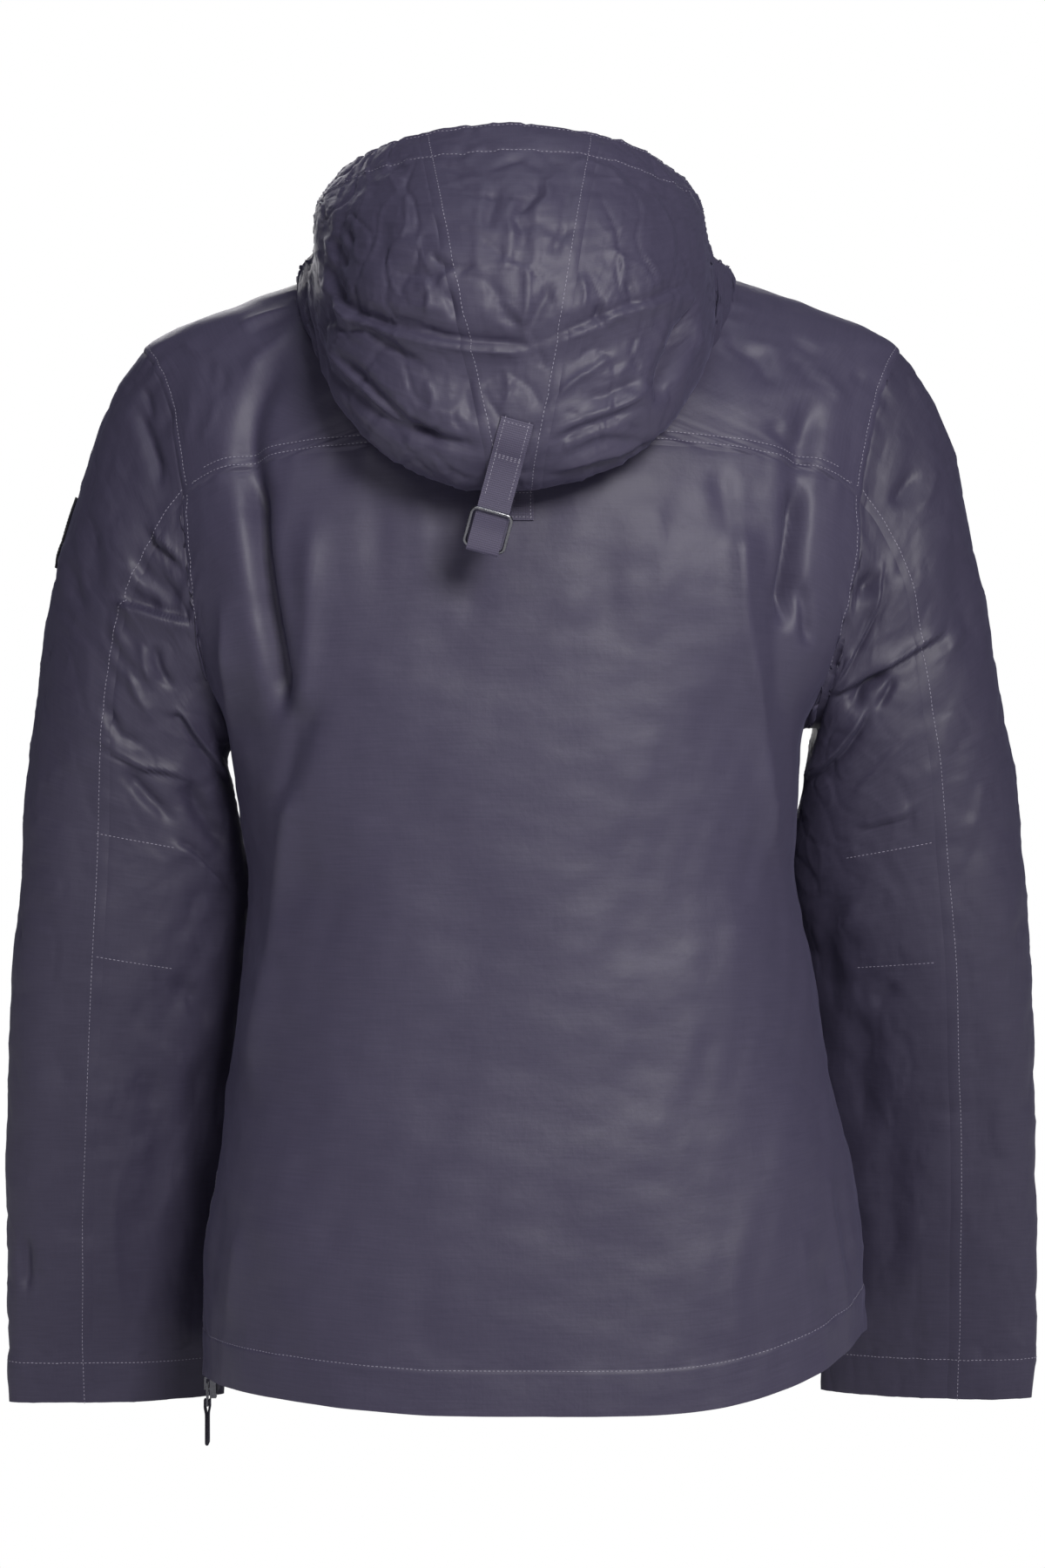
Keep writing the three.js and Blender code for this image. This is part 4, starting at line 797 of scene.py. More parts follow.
# Creases of the hood's hanging bag
HOOD_CREASES = (
    Crease(((-9, -63), (20, -62), (36, -60), (68, -53), (90, -45), (107, -34), (118, -17), (125, 4)), 9, 5.0, Lie.LAP, 0.12),
    Crease(((-108, -14), (-81, -31), (-59, -40), (-41, -49), (-20, -58), (-2, -63)), 8, 3.0, Lie.LAP),
    Crease(((113, -46), (93, -49), (84, -56), (69, -67), (52, -77)), 4, 2.4),
    Crease(((130, -38), (124, -60), (113, -76), (100, -90), (84, -105), (73, -111), (44, -118)), 5, 4.5, ends=0.2),
    Crease(((122, -54), (98, -78), (75, -103), (57, -115), (37, -120), (18, -121)), 4.5, 4.0, ends=0.2),
    Crease(((126, -50), (112, -68), (92, -90), (78, -104)), 4, 2.0, Lie.RIDGE),
    Crease(((119, 16), (114, 1), (110, -10)), 3.5, 2.2),
    Crease(((125, 20), (121, 6), (119, -8)), 4, 1.8, Lie.RIDGE),
    Crease(((113, 22), (108, 14), (105, 4)), 3, 1.6),
    Crease(((117, -16), (116, -33), (113, -46)), 4, 2.6),
    Crease(((121, -31), (122, -45), (121, -57)), 3.5, 2.0),
    Crease(((111, -44), (106, -48), (99, -48)), 2.5, 1.6),
    Crease(((107, -30), (103, -42), (104, -56)), 3, 1.4, Lie.RIDGE),
    Crease(((-106, -26), (-98, -50), (-88, -72), (-80, -96)), 8, 7.0),
    Crease(((-79, -97), (-86, -76), (-95, -52), (-103, -30), (-107, -12)), 6, 3.5, Lie.LAP, 0.2),
    Crease(((-11, -138), (-36, -132), (-63, -123), (-90, -106), (-105, -89), (-113, -73), (-119, -53)), 6, 4.0, Lie.LAP, 0.2),
    Crease(((-113, -67), (-110, -49), (-105, -28)), 4, 2.4, Lie.RIDGE),
    Crease(((-62, -62), (-45, -73), (-29, -84), (-12, -100)), 4, 2.2, Lie.RIDGE),
    Crease(((-82, -82), (-63, -95), (-45, -102), (-27, -109), (-10, -118)), 4, 2.6, Lie.RIDGE),
    Crease(((-76, -93), (-56, -103), (-34, -111), (-14, -122)), 4, 2.2),
    Crease(((-90, -112), (-68, -117), (-48, -119), (-19, -131)), 4, 1.8),
    Crease(((-76, -77), (-53, -89), (-34, -94)), 4.5, 2.0),
    Crease(((2, 46), (-6, 39), (-10, 33), (-3, 25), (5, 18), (3, 12), (-1, 4), (0, -8)), 3, 1.9),
    Crease(((-14, 44), (-15, 30), (-8, 20), (-9, 6)), 4, 1.4, Lie.RIDGE),
    Crease(((3, 38), (6, 20), (7, 4), (9, -11), (14, -27)), 3.5, 1.7, Lie.RIDGE),
    Crease(((16, 40), (18, 22), (22, 6)), 4, 1.4),
    Crease(((-1, -8), (-3, -20), (-3, -33), (-1, -54)), 3.5, 1.6, Lie.RIDGE),
    Crease(((21, -20), (11, -41), (0, -55)), 4, 1.6),
    Crease(((-20, -20), (-10, -41), (-2, -56)), 4, 1.6),
    Crease(((56, -6), (48, -13), (39, -18)), 3, 1.8),
    Crease(((51, -26), (45, -20), (39, -17)), 3, 1.7, Lie.RIDGE),
    Crease(((40, -17), (34, -16), (27, -14)), 2.5, 1.3),
    Crease(((47, -28), (42, -38), (40, -49)), 3.5, 1.7),
    Crease(((60, -18), (56, -34), (60, -47)), 4, 1.3, Lie.RIDGE),
    Crease(((-46, -34), (-47, -44), (-48, -52)), 3, 1.9),
    Crease(((-63, -18), (-67, -30), (-71, -38)), 3, 1.8),
    Crease(((-52, 1), (-59, -7), (-62, -19)), 3.5, 1.4, Lie.RIDGE),
    Crease(((-29, 12), (-21, 1), (-19, -9)), 3, 1.4),
    Crease(((-70, -2), (-80, -14), (-84, -28)), 5, 1.5, Lie.RIDGE),
    Crease(((-34, -16), (-38, -30), (-36, -44)), 4, 1.4, Lie.RIDGE),
    Crease(((90, 51), (77, 54), (69, 53)), 2.5, 1.2),
    Crease(((92, 44), (80, 47), (70, 44)), 3, 1.2, Lie.RIDGE),
    Crease(((53, 56), (42, 51), (27, 47)), 3, 1.3),
    Crease(((21, 48), (8, 54), (-8, 59)), 3, 1.4),
    Crease(((-30, 52), (-40, 56), (-52, 52)), 3, 1.2, Lie.RIDGE),
    Crease(((-60, 46), (-72, 44), (-84, 36)), 4, 1.3),
    Crease(((86, -1), (69, 2), (56, -3)), 5, 1.3, Lie.RIDGE),
    Crease(((82, -15), (64, -18), (44, -23)), 5, 1.4),
    Crease(((88, 20), (84, 4), (90, -14)), 8, 1.4),
    Crease(((30, -72), (34, -90), (28, -108)), 6, 1.6),
    Crease(((60, -78), (54, -92), (58, -106)), 6, 1.4, Lie.RIDGE),
    Crease(((12, -70), (8, -88), (14, -104)), 5, 1.3, Lie.RIDGE),
)
# Creases of the hidden front, of the same kinds
FRONT_CREASES = mirrored(BACK_CREASES, -6, 14, 0.45) + mirrored(YOKE_CREASES, 5, 6, 0.8)
FRONT_SLEEVE_CREASES = (mirrored(LEFT_SLEEVE_CREASES, -4, 6, 0.6) + mirrored(RIGHT_SLEEVE_CREASES, 4, -8, 0.6))
FRONT_HOOD_CREASES = mirrored(HOOD_CREASES[22:], 6, -30, 0.7)


class Noise:
    """Repeatable smooth noise from a few dozen waves, for small unevenness of the cloth."""

    def __init__(self, seed: int, wavelength: float, count: int = 24) -> None:
        """Draws the waves.

        Args:
            seed: fixed seed.
            wavelength: typical length of a wave in millimetres.
            count: number of waves.
        """
        rng = np.random.default_rng(seed)
        direction = unit(rng.normal(size=(count, 3)))
        self.wave = direction * (2 * np.pi / (wavelength * rng.uniform(0.6, 1.7, (count, 1))))
        self.phase = rng.uniform(0, 2 * np.pi, count)

    def __call__(self, points: np.ndarray) -> np.ndarray:
        """Noise of about unit size at points."""
        return np.sin(points @ self.wave.T + self.phase).sum(axis=-1) / math.sqrt(len(self.phase) / 2)

    def crinkle(self, points: np.ndarray) -> np.ndarray:
        """Thin lines where the noise passes zero, like the edges of crumpled cloth."""
        return np.exp(-np.abs(self(points)) * 5.5)


@dataclass
class Panel:
    """One cloth panel as a grid of points, rows by columns, in millimetres."""

    name: str
    grid: np.ndarray
    turn: int
    wrap: bool = False
    seams: str = "tblr"
    normals: np.ndarray = field(default=None, repr=False)

    def find_normals(self) -> None:
        """Works out the outward normal at every point."""
        g = self.grid
        along = np.gradient(g, axis=0)
        across = np.roll(g, -1, axis=1) - np.roll(g, 1, axis=1) if self.wrap else np.gradient(g, axis=1)
        self.normals = unit(np.cross(across, along) * -self.turn)

    def rims(self) -> list[tuple[slice, slice]]:
        """Index pairs of the panel's edges."""
        every = slice(None)
        edges = [(0, every), (-1, every)]
        return edges if self.wrap else edges + [(every, 0), (every, -1)]

    def edge_distance(self, edge: str) -> np.ndarray:
        """Distance along the grid from an edge: t first row, b last row, l and r first and last column."""
        if self.wrap and edge == "b":
            return self.from_rim()
        axis = 0 if edge in "tb" else 1
        step = np.linalg.norm(np.diff(self.grid, axis=axis), axis=-1)
        start = np.zeros_like(np.take(step, [0], axis=axis))
        if edge in "br":
            run = np.flip(np.cumsum(np.flip(step, axis=axis), axis=axis), axis=axis)
            return np.concatenate([run, start], axis=axis)
        return np.concatenate([start, np.cumsum(step, axis=axis)], axis=axis)

    def from_rim(self) -> np.ndarray:
        """Shortest distance of every point from the last row, for columns that meet it on a slant."""
        rim, best = self.grid[-1], np.full(self.grid.shape[:2], 1e9)
        for start, run in zip(rim, np.roll(rim, -1, axis=0) - rim):
            t = np.clip((self.grid - start) @ run / (run @ run), 0, 1)
            best = np.minimum(best, np.linalg.norm(self.grid - start - t[..., None] * run, axis=-1))
        return best

    def from_seams(self) -> tuple[np.ndarray, np.ndarray]:
        """Distance of every point from the nearest sewn edge, and that edge's point."""
        away = np.full(self.grid.shape[:2], 1e9)
        nearest = self.grid.copy()
        for edge in self.seams:
            run = self.edge_distance(edge)
            closer = run < away
            nearest = np.where(closer[..., None], self.edge_points(edge), nearest)
            away = np.where(closer, run, away)
        return away, nearest

    def edge_points(self, edge: str) -> np.ndarray:
        """For every point, the edge point on its own row or column."""
        rim = {"t": self.grid[:1], "b": self.grid[-1:], "l": self.grid[:, :1], "r": self.grid[:, -1:]}[edge]
        return np.broadcast_to(rim, self.grid.shape)

    def line_at(self, edge: str, distance: float, start: int = 0, end: int | None = None) -> "Row":
        """Line on the cloth at an even distance from an edge.

        Args:
            edge: the edge, as for edge_distance.
            distance: distance from it in millimetres.
            start: first row or column of the line.
            end: the row or column before which it stops.

        Returns:
            The line's points and the cloth's normals there.
        """
        run, grid, normals = self.edge_distance(edge), self.grid, self.normals
        if edge in "lr":
            run, grid, normals = run.T, grid.swapaxes(0, 1), normals.swapaxes(0, 1)
        if edge in "br":
            run, grid, normals = run[::-1], grid[::-1], normals[::-1]
        run, grid, normals = run[:, start:end], grid[:, start:end], normals[:, start:end]
        i = np.clip((run < distance).sum(axis=0), 1, len(run) - 1)
        column = np.arange(run.shape[1])
        low, high = run[i - 1, column], run[i, column]
        t = np.clip((distance - low) / np.maximum(high - low, 1e-6), 0, 1)[:, None]
        points = mix(grid[i - 1, column], grid[i, column], t)
        return Row(points, unit(mix(normals[i - 1, column], normals[i, column], t)))


@dataclass
class Row:
    """A line on the cloth that stitches follow."""

    points: np.ndarray
    normals: np.ndarray


def share_seam_normals(panels: list[Panel]) -> None:
    """Gives panels that meet at a seam the same normal there."""
    sums: dict[tuple, np.ndarray] = {}
    places = []
    for panel in panels:
        for rim in panel.rims():
            keys = [tuple(k) for k in np.round(panel.grid[rim] * 20).astype(int)]
            places.append((panel, rim, keys))
            for key, normal in zip(keys, panel.normals[rim]):
                sums[key] = sums.get(key, 0) + normal
    for panel, rim, keys in places:
        panel.normals[rim] = unit(np.array([sums[key] for key in keys]))


def new_object(name: str, mesh: bpy.types.Mesh) -> bpy.types.Object:
    """Object of a mesh, linked to the scene."""
    made = bpy.data.objects.new(name, mesh)
    bpy.context.scene.collection.objects.link(made)
    return made


def grid_mesh(name: str, grid: np.ndarray, wrap: bool, turn: int, ring: bool = False) -> bpy.types.Object:
    """Object of a grid with a UV map in metres.

    Args:
        name: the object's name.
        grid: rows, columns and coordinates in millimetres.
        wrap: whether the last column joins the first.
        turn: 1 or -1, which way the faces point.
        ring: whether the last row joins the first.

    Returns:
        The new object.
    """
    rows, columns = grid.shape[:2]
    spans = columns if wrap else columns - 1
    r, c = np.meshgrid(np.arange(rows if ring else rows - 1), np.arange(spans), indexing="ij")
    below = (r + 1) % rows
    a, b = r * columns + c, below * columns + c
    d, e = r * columns + (c + 1) % columns, below * columns + (c + 1) % columns
    quads = np.stack([a, b, e, d] if turn > 0 else [a, d, e, b], axis=-1).reshape(-1, 4)
    mesh = bpy.data.meshes.new(name)
    mesh.vertices.add(rows * columns)
    mesh.vertices.foreach_set("co", (grid.reshape(-1, 3) * MM).ravel())
    mesh.loops.add(quads.size)
    mesh.loops.foreach_set("vertex_index", quads.ravel())
    mesh.polygons.add(len(quads))
    mesh.polygons.foreach_set("loop_start", np.arange(len(quads)) * 4)
    mesh.polygons.foreach_set("use_smooth", np.ones(len(quads), bool))
    across = np.linalg.norm(np.diff(grid, axis=1, append=grid[:, :1] if wrap else grid[:, -1:]), axis=-1)
    down = np.linalg.norm(np.diff(grid, axis=0, append=grid[:1] if ring else grid[-1:]), axis=-1)
    u = np.concatenate([[0], np.cumsum(across.mean(axis=0))])
    v = np.concatenate([[0], np.cumsum(down.mean(axis=1))])
    corners = [(u[c], v[r]), (u[c], v[r + 1]), (u[c + 1], v[r + 1]), (u[c + 1], v[r])]
    order = [0, 1, 2, 3] if turn > 0 else [0, 3, 2, 1]
    uv = np.stack([np.stack(corners[k], axis=-1) for k in order], axis=2) * MM
    mesh.update()
    layer = mesh.uv_layers.new(name="cloth")
    layer.data.foreach_set("uv", uv.reshape(-1))
    mesh.validate()
    if not ring:
        mark_rim(mesh, rows, columns, wrap)
    return new_object(name, mesh)


def mark_rim(mesh: bpy.types.Mesh, rows: int, columns: int, wrap: bool) -> None:
    """Marks a grid's outer edges as sharp, so that its wall's rim keeps a clean corner."""
    ends = np.zeros(2 * len(mesh.edges), int)
    mesh.edges.foreach_get("vertices", ends)
    row, column = np.divmod(ends.reshape(-1, 2), columns)
    sharp = (row == 0).all(axis=1) | (row == rows - 1).all(axis=1)
    if not wrap:
        sharp |= (column == 0).all(axis=1) | (column == columns - 1).all(axis=1)
    mesh.attributes.new("sharp_edge", "BOOLEAN", "EDGE").data.foreach_set("value", sharp)


@dataclass(frozen=True)
class StitchRow:
    """One row of stitches at an even distance from a panel's edge."""

    panel: str
    edge: str
    distance: float
    start: int = 0
    end: int | None = None


@dataclass(frozen=True)
class CreaseSet:
    """The creases that one kind of panel takes on its back and its front."""

    back: tuple[Crease, ...]
    front: tuple[Crease, ...]
    crinkle: float


@dataclass(frozen=True)
class SewnLook:
    """How far seams, bands, stitches and puckers stand out of the cloth or sink in."""

    groove: float = 0.3
    groove_wide: float = 1.0
    band: float = 0.16
    dimple: float = 0.3
    dimple_wide: float = 0.8
    pucker: float = 0.55
    tip_pucker: float = 0.65
    reach: float = 11.0
    fold: float = 0.6


class Cut(Enum):
    """The finish that a cloth panel is cut from; the sleeves' finish is the shell cloth made darker, as painted shade.
    """

    SHELL = "shell"
    SLEEVE = "sleeve_shell"


# Sewn edges of each panel, and the creases and crinkle that each kind of panel takes
SEAM_EDGES = {"back_panel": "tlr", "front_panel": "tlr", "yoke": "tb", "hood_centre": "tlr",
              "hood_side_left": "tlr", "hood_side_right": "tlr"}
BODY_SET = CreaseSet(sharper(BACK_CREASES + YOKE_CREASES, 1.1, 0.9), FRONT_CREASES, 0.16)
HOOD_SET = CreaseSet(sharper(HOOD_CREASES, 1.6, 0.85), FRONT_HOOD_CREASES, 1.5)
SLEEVE_SET = CreaseSet(sharper(LEFT_SLEEVE_CREASES + RIGHT_SLEEVE_CREASES, 1.3, 0.85), FRONT_SLEEVE_CREASES, 0.8)


class AnorakCloth:
    """All cloth panels, from their plain forms to the creased and stitched pieces."""

    arm_rows = 60
    hood_creased_from, hood_creased_run = 2.7, 0.9
    armhole_fade = 13.0

    def __init__(self) -> None:
        """Makes the forms that the panels follow."""
        self.body = BodyForm()
        self.sleeve = SleeveForm(self.body)
        self.hood = HoodForm(self.body)
        self.ring = NeckRing(arm=70, back=150, front=60)
        self.look = SewnLook()
        self.hood_at = np.zeros(0)
        self.panels: dict[str, Panel] = {}

    def body_panel(self, to_back: bool) -> np.ndarray:
        """Grid of the back or front panel from the yoke seam to the hem."""
        body, sign = self.body, 1 if to_back else -1
        under = self.under_angles()[::1 if to_back else 2]
        rows = len(under) - 1
        columns = self.ring.back if to_back else self.ring.front
        corner_z = panel_ends(body, to_back)[2]
        side = UNDERARM_Z - HEM_Z
        down = stations(side, 2.8, [side - HEM_BAND], 2.0, 1.0)[1:]
        low = mix(UNDERARM_Z, HEM_Z, down)
        left = np.concatenate([body.armhole(1, sign * under)[0], self.side_angle(1, to_back, low)])
        right = np.concatenate([body.armhole(-1, sign * under)[0], self.side_angle(-1, to_back, low)])
        if not to_back:
            right = right - 360 * np.round((right - left + 150) / 360)
        t = np.arange(columns + 1) / columns
        across = (2 * t - 1)[None, :]
        even = mix(corner_z, UNDERARM_Z, np.arange(rows + 1) / rows)
        upper = mix(even[:, None], body.armhole(1, under)[1][:, None], np.abs(across) ** 6)
        level = np.concatenate([upper, np.broadcast_to(low[:, None], (len(low), columns + 1))])
        angle = mix(left[:, None], right[:, None], crowded(t)[None, :])
        fade = 1 - smooth((corner_z - level) / SEAM_FADE)
        drop = BACK_SEAM_DROP if to_back else FRONT_SEAM_DROP
        z = level + drop * (1 - across**2) * fade
        if to_back:
            z = z + SEAM_BUNCH(body.point(angle, z)[..., 0]) * fade
        x = body.point(angle, z)[..., 0]
        rise = np.where(x > 0, HEM_RISE_LEFT(np.abs(x)), HEM_RISE_RIGHT(np.abs(x)))
        share = np.concatenate([np.zeros(rows + 1), smooth(1 - HEM_RISE_SHARE * (1 - down))])
        return body.point(angle, z + rise * share[:, None])

    def side_angle(self, side: int, to_back: bool, z: np.ndarray) -> np.ndarray:
        """Body angle of a side seam, open for the zip on the wearer's left."""
        gap = ZIP_GAP * smooth((ZIP_TOP_Z - z) / ZIP_MOUTH) if side > 0 else np.zeros_like(z)
        depth = self.body.curve["back" if to_back else "front"](z)
        n = self.body.curve["square"](z)
        turn = np.degrees(np.arcsin((gap / depth) ** (n / 2)))
        return (0 if side > 0 else 180) + (1 if to_back else -1) * side * turn

    def under_angles(self) -> np.ndarray:
        """Armhole angles from a yoke corner down to the underarm."""
        return mix(SEAM_ANGLE, 180.0, np.arange(self.arm_rows + 1) / self.arm_rows)

    def tip_angles(self) -> np.ndarray:
        """Armhole angles of the yoke's stretch, from the front corner over the tip."""
        return mix(-SEAM_ANGLE, SEAM_ANGLE, np.arange(self.ring.arm + 1) / self.ring.arm)

    def yoke(self) -> np.ndarray:
        """Grid of the yoke from the neck seam out."""
        neck_angle, neck_z = self.ring.neck_place(self.body)
        edge_angle, edge_z = self.ring.edge_place(self.body)
        edge_angle = edge_angle + 360 * np.round((neck_angle - edge_angle) / 360)
        t = stations(120, 2.6, [120.0], 12.0, 1.25)[:, None]
        return self.body.point(mix(neck_angle, edge_angle, t), mix(neck_z, edge_z, t))

    def sleeves(self, side: int) -> tuple[np.ndarray, np.ndarray]:
        """Grids of the upper and the under panel of a sleeve."""
        at = SLEEVE_END * stations(680, 3.5, [0.0, 657.0], 2.0, 1.3) ** 1.25
        under = self.under_angles()
        low = np.concatenate([under, 360 - under[-3::-2]])
        upper = self.sleeve.point(side, at[:, None], self.tip_angles()[None, :])
        return upper, self.sleeve.point(side, at[:, None], low[None, :])

    def hood_grids(self) -> dict[str, np.ndarray]:
        """Grids of the hood's three panels."""
        control = self.hood.columns(self.ring)
        middle = self.ring.arm + self.ring.back // 2
        probe = np.linspace(0, len(HOOD_LOOPS), 400)
        spine = self.hood.sweep(control[:, middle:middle + 1], probe)[:, 0]
        run = np.concatenate([[0], np.cumsum(np.linalg.norm(np.diff(spine, axis=0), axis=-1))])
        even = stations(run[-1], 2.2, [run[-1] - HEM_BAND, run[-1]], 2.0, 1.1) * run[-1]
        self.hood_at = np.interp(even, run, probe)
        whole = self.hood.sweep(control, self.hood_at)
        half = round(self.ring.back * CENTRE_SHARE / 2)
        start, end = middle - half, middle + half
        front = whole.shape[1] - self.ring.front // 2
        left = np.concatenate([whole[:, front:], whole[:, :start + 1]], axis=1)
        return {"hood_centre": whole[:, start:end + 1], "hood_side_left": left,
                "hood_side_right": whole[:, end:front + 1]}

    def build_forms(self) -> None:
        """Lays out every panel's plain grid and the normals that neighbours share."""
        plain = {"back_panel": (self.body_panel(True), 1), "front_panel": (self.body_panel(False), -1)}
        for name, grid in self.hood_grids().items():
            plain[name] = (grid, -1)
        for label, side in (("left", 1), ("right", -1)):
            upper, under = self.sleeves(side)
            plain[f"sleeve_upper_{label}"] = (upper, side)
            plain[f"sleeve_under_{label}"] = (under, side)
        for name, (grid, turn) in plain.items():
            self.panels[name] = Panel(name, grid, turn, False, SEAM_EDGES.get(name, "tlr"))
        self.panels["yoke"] = Panel("yoke", self.yoke(), 1, True, SEAM_EDGES["yoke"])
        self.meet()

    def meet(self) -> None:
        """Gives all panels their normals, the same ones where they meet."""
        for panel in self.panels.values():
            panel.find_normals()
        share_seam_normals(list(self.panels.values()))

    def from_armholes(self, points: np.ndarray) -> np.ndarray:
        """Distance of points from the nearest armhole seam."""
        angles = np.linspace(0, 360, 181)[:-1]
        tree = KDTree(2 * len(angles))
        for side in (1, -1):
            for i, place in enumerate(self.body.armhole_point(side, angles)):
                tree.insert(place, i)
        tree.balance()
        flat = points.reshape(-1, 3)
        return np.array([tree.find(place)[2] for place in flat]).reshape(points.shape[:-1])

    def crease(self) -> None:
        """Presses the creases and the unevenness into the panels."""
        broad, small, folds = Noise(11, 95), Noise(12, 30), Noise(13, 34)
        finer = Noise(14, 17)
        for panel in self.panels.values():
            grid, normals = panel.grid, panel.normals
            is_hood, is_sleeve = panel.name.startswith("hood"), panel.name.startswith("sleeve")
            chosen = HOOD_SET if is_hood else SLEEVE_SET if is_sleeve else BODY_SET
            inside = np.ones(grid.shape[:2])
            if is_hood:
                inside = smooth((self.hood_at - self.hood_creased_from) / self.hood_creased_run)[:, None]
                inside = np.broadcast_to(inside, grid.shape[:2])
            else:
                inside = smooth(self.from_armholes(grid) / self.armhole_fade)
            if panel.name == "yoke":
                inside = inside * smooth(panel.edge_distance("t") / 8)
            to_back = smooth(normals[..., 1] * 2.2) * inside
            to_front = smooth(-normals[..., 1] * 2.2) * inside
            dent = crease_depth(chosen.back, grid[..., 0], grid[..., 2], to_back)
            dent += crease_depth(chosen.front, grid[..., 0], grid[..., 2], to_front)
            away = panel.from_seams()[0]
            calm = smooth((away - 1) / 14)
            dent -= 0.8 * broad(grid) + 0.3 * small(grid)
            dent += chosen.crinkle * calm * (folds.crinkle(grid) - 0.8 * folds.crinkle(grid + 19.0))
            dent += 0.35 * chosen.crinkle * calm * (finer.crinkle(grid) - 0.8 * finer.crinkle(grid - 23.0))
            panel.grid = grid - normals * dent[..., None]
        self.meet()

    def stitch_rows(self) -> list[StitchRow]:
        """Every row of stitches that follows an edge."""
        arm, back, front = self.ring.arm, self.ring.back, self.ring.front
        under, zip_row = self.arm_rows, self.zip_row()
        rows = [StitchRow("yoke", "b", 5.0, 0, arm + 1), StitchRow("yoke", "b", 5.0, arm + back, 2 * arm + back + 1)]
        for distance in (4.4, 9.8):
            rows += [StitchRow("yoke", "b", distance, arm, arm + back + 1),
                     StitchRow("yoke", "b", distance, 2 * arm + back, 2 * arm + back + front)]
        for edge in "lr":
            rows += [StitchRow("back_panel", edge, 5.0, 0, under + 1),
                     StitchRow("front_panel", edge, 5.0, 0, under // 2 + 1),
                     StitchRow("hood_centre", edge, 6.5, 20, None)]
            for label in ("left", "right"):
                rows.append(StitchRow(f"sleeve_upper_{label}", edge, 7.2, 3, None))
        rows += [StitchRow("back_panel", "l", 5.0, zip_row, None),
                 StitchRow("front_panel", "l", 5.0, zip_row - under + under // 2, None),
                 StitchRow("hood_side_left", "l", 5.0, 20, None), StitchRow("hood_side_right", "r", 5.0, 20, None)]
        bands = [name for name in self.panels if name != "yoke"]
        rows += [StitchRow(name, "b", HEM_BAND) for name in bands]
        rows += [StitchRow(name, "b", 2.2) for name in bands if name.startswith("hood")]
        return rows

    def zip_row(self) -> int:
        """First row of the back panel below the top of the zip."""
        return int(np.argmax(self.panels["back_panel"].grid[:, 0, 2] < ZIP_TOP_Z - ZIP_MOUTH))

    def sew(self) -> None:
        """Presses in the seams, bands, stitch lines and puckers."""
        ripple, slow = Noise(21, 13), Noise(22, 60)
        look = self.look
        rows = self.stitch_rows()
        for panel in self.panels.values():
            away, nearest = panel.from_seams()
            tips = np.array([[250.0, 0, -80], [-250.0, 0, -80]])
            tip = sum(np.exp(-((np.linalg.norm(nearest - place, axis=-1) / 75) ** 2)) for place in tips)
            strength = (look.pucker + look.tip_pucker * tip) * (0.7 + 0.3 * slow(nearest))
            dent = look.groove * np.exp(-((away / look.groove_wide) ** 2))
            dent += strength * ripple(nearest) * np.exp(-away / look.reach)
            if "b" not in panel.seams:
                hem = panel.edge_distance("b")
                edge = panel.edge_points("b")
                dent -= look.fold * (1 - smooth((hem - HEM_BAND + 1.5) / 3))
                dent += 0.32 * ripple(edge) * np.exp(-np.abs(hem - HEM_BAND) / 9)
            sewn = [row for row in rows if row.panel == panel.name]
            for row in sewn:
                run = panel.edge_distance(row.edge)
                on = np.zeros(run.shape[1 if row.edge in "tb" else 0])
                on[row.start:row.end] = 1
                on = on[None, :] if row.edge in "tb" else on[:, None]
                dent += on * look.dimple * np.exp(-(((run - row.distance) / look.dimple_wide) ** 2))
                if row.distance < 12 and row.edge in panel.seams:
                    band = smooth((run - 1.0) / 1.6) * (1 - smooth((run - row.distance) / 2.0))
                    dent -= on * look.band * band
            panel.grid = panel.grid - panel.normals * dent[..., None]
        self.meet()

    def dress(self, finishes: dict[str, bpy.types.Material]) -> None:
        """Turns the panels into pieces that replace their nodes.

        Args:
            finishes: materials by finish slot.
        """
        for name, panel in self.panels.items():
            # Sleeve panels take the darker finish, which is painted shade for the sleeves lying beside the body.
            cut = Cut.SLEEVE if name.startswith("sleeve") else Cut.SHELL
            piece = grid_mesh(f"cloth_{name}", panel.grid, panel.wrap, panel.turn)
            wear_cloth(piece, name, cut.value, finishes[cut.value], SHELL_WALL, -1.0)


def wear_cloth(piece: bpy.types.Object, node: str, slot: str, finish: bpy.types.Material,
               wall: float, side: float, body: str = GARMENT) -> None:
    """Gives a cloth piece its wall, finish, body and node.

    Args:
        piece: the piece.
        node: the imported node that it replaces.
        slot: its finish slot.
        finish: its material.
        wall: thickness in millimetres.
        side: -1 for a wall inwards of the face, 0 for half each way.
        body: the body that it rides on.
    """
    piece.data.materials.append(finish)
    solid = piece.modifiers.new("wall", "SOLIDIFY")
    solid.thickness, solid.offset = wall * MM, side
    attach(piece, body)
    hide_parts(node)
    log.info("%s: %d faces, %s", piece.name, len(piece.data.polygons), slot)


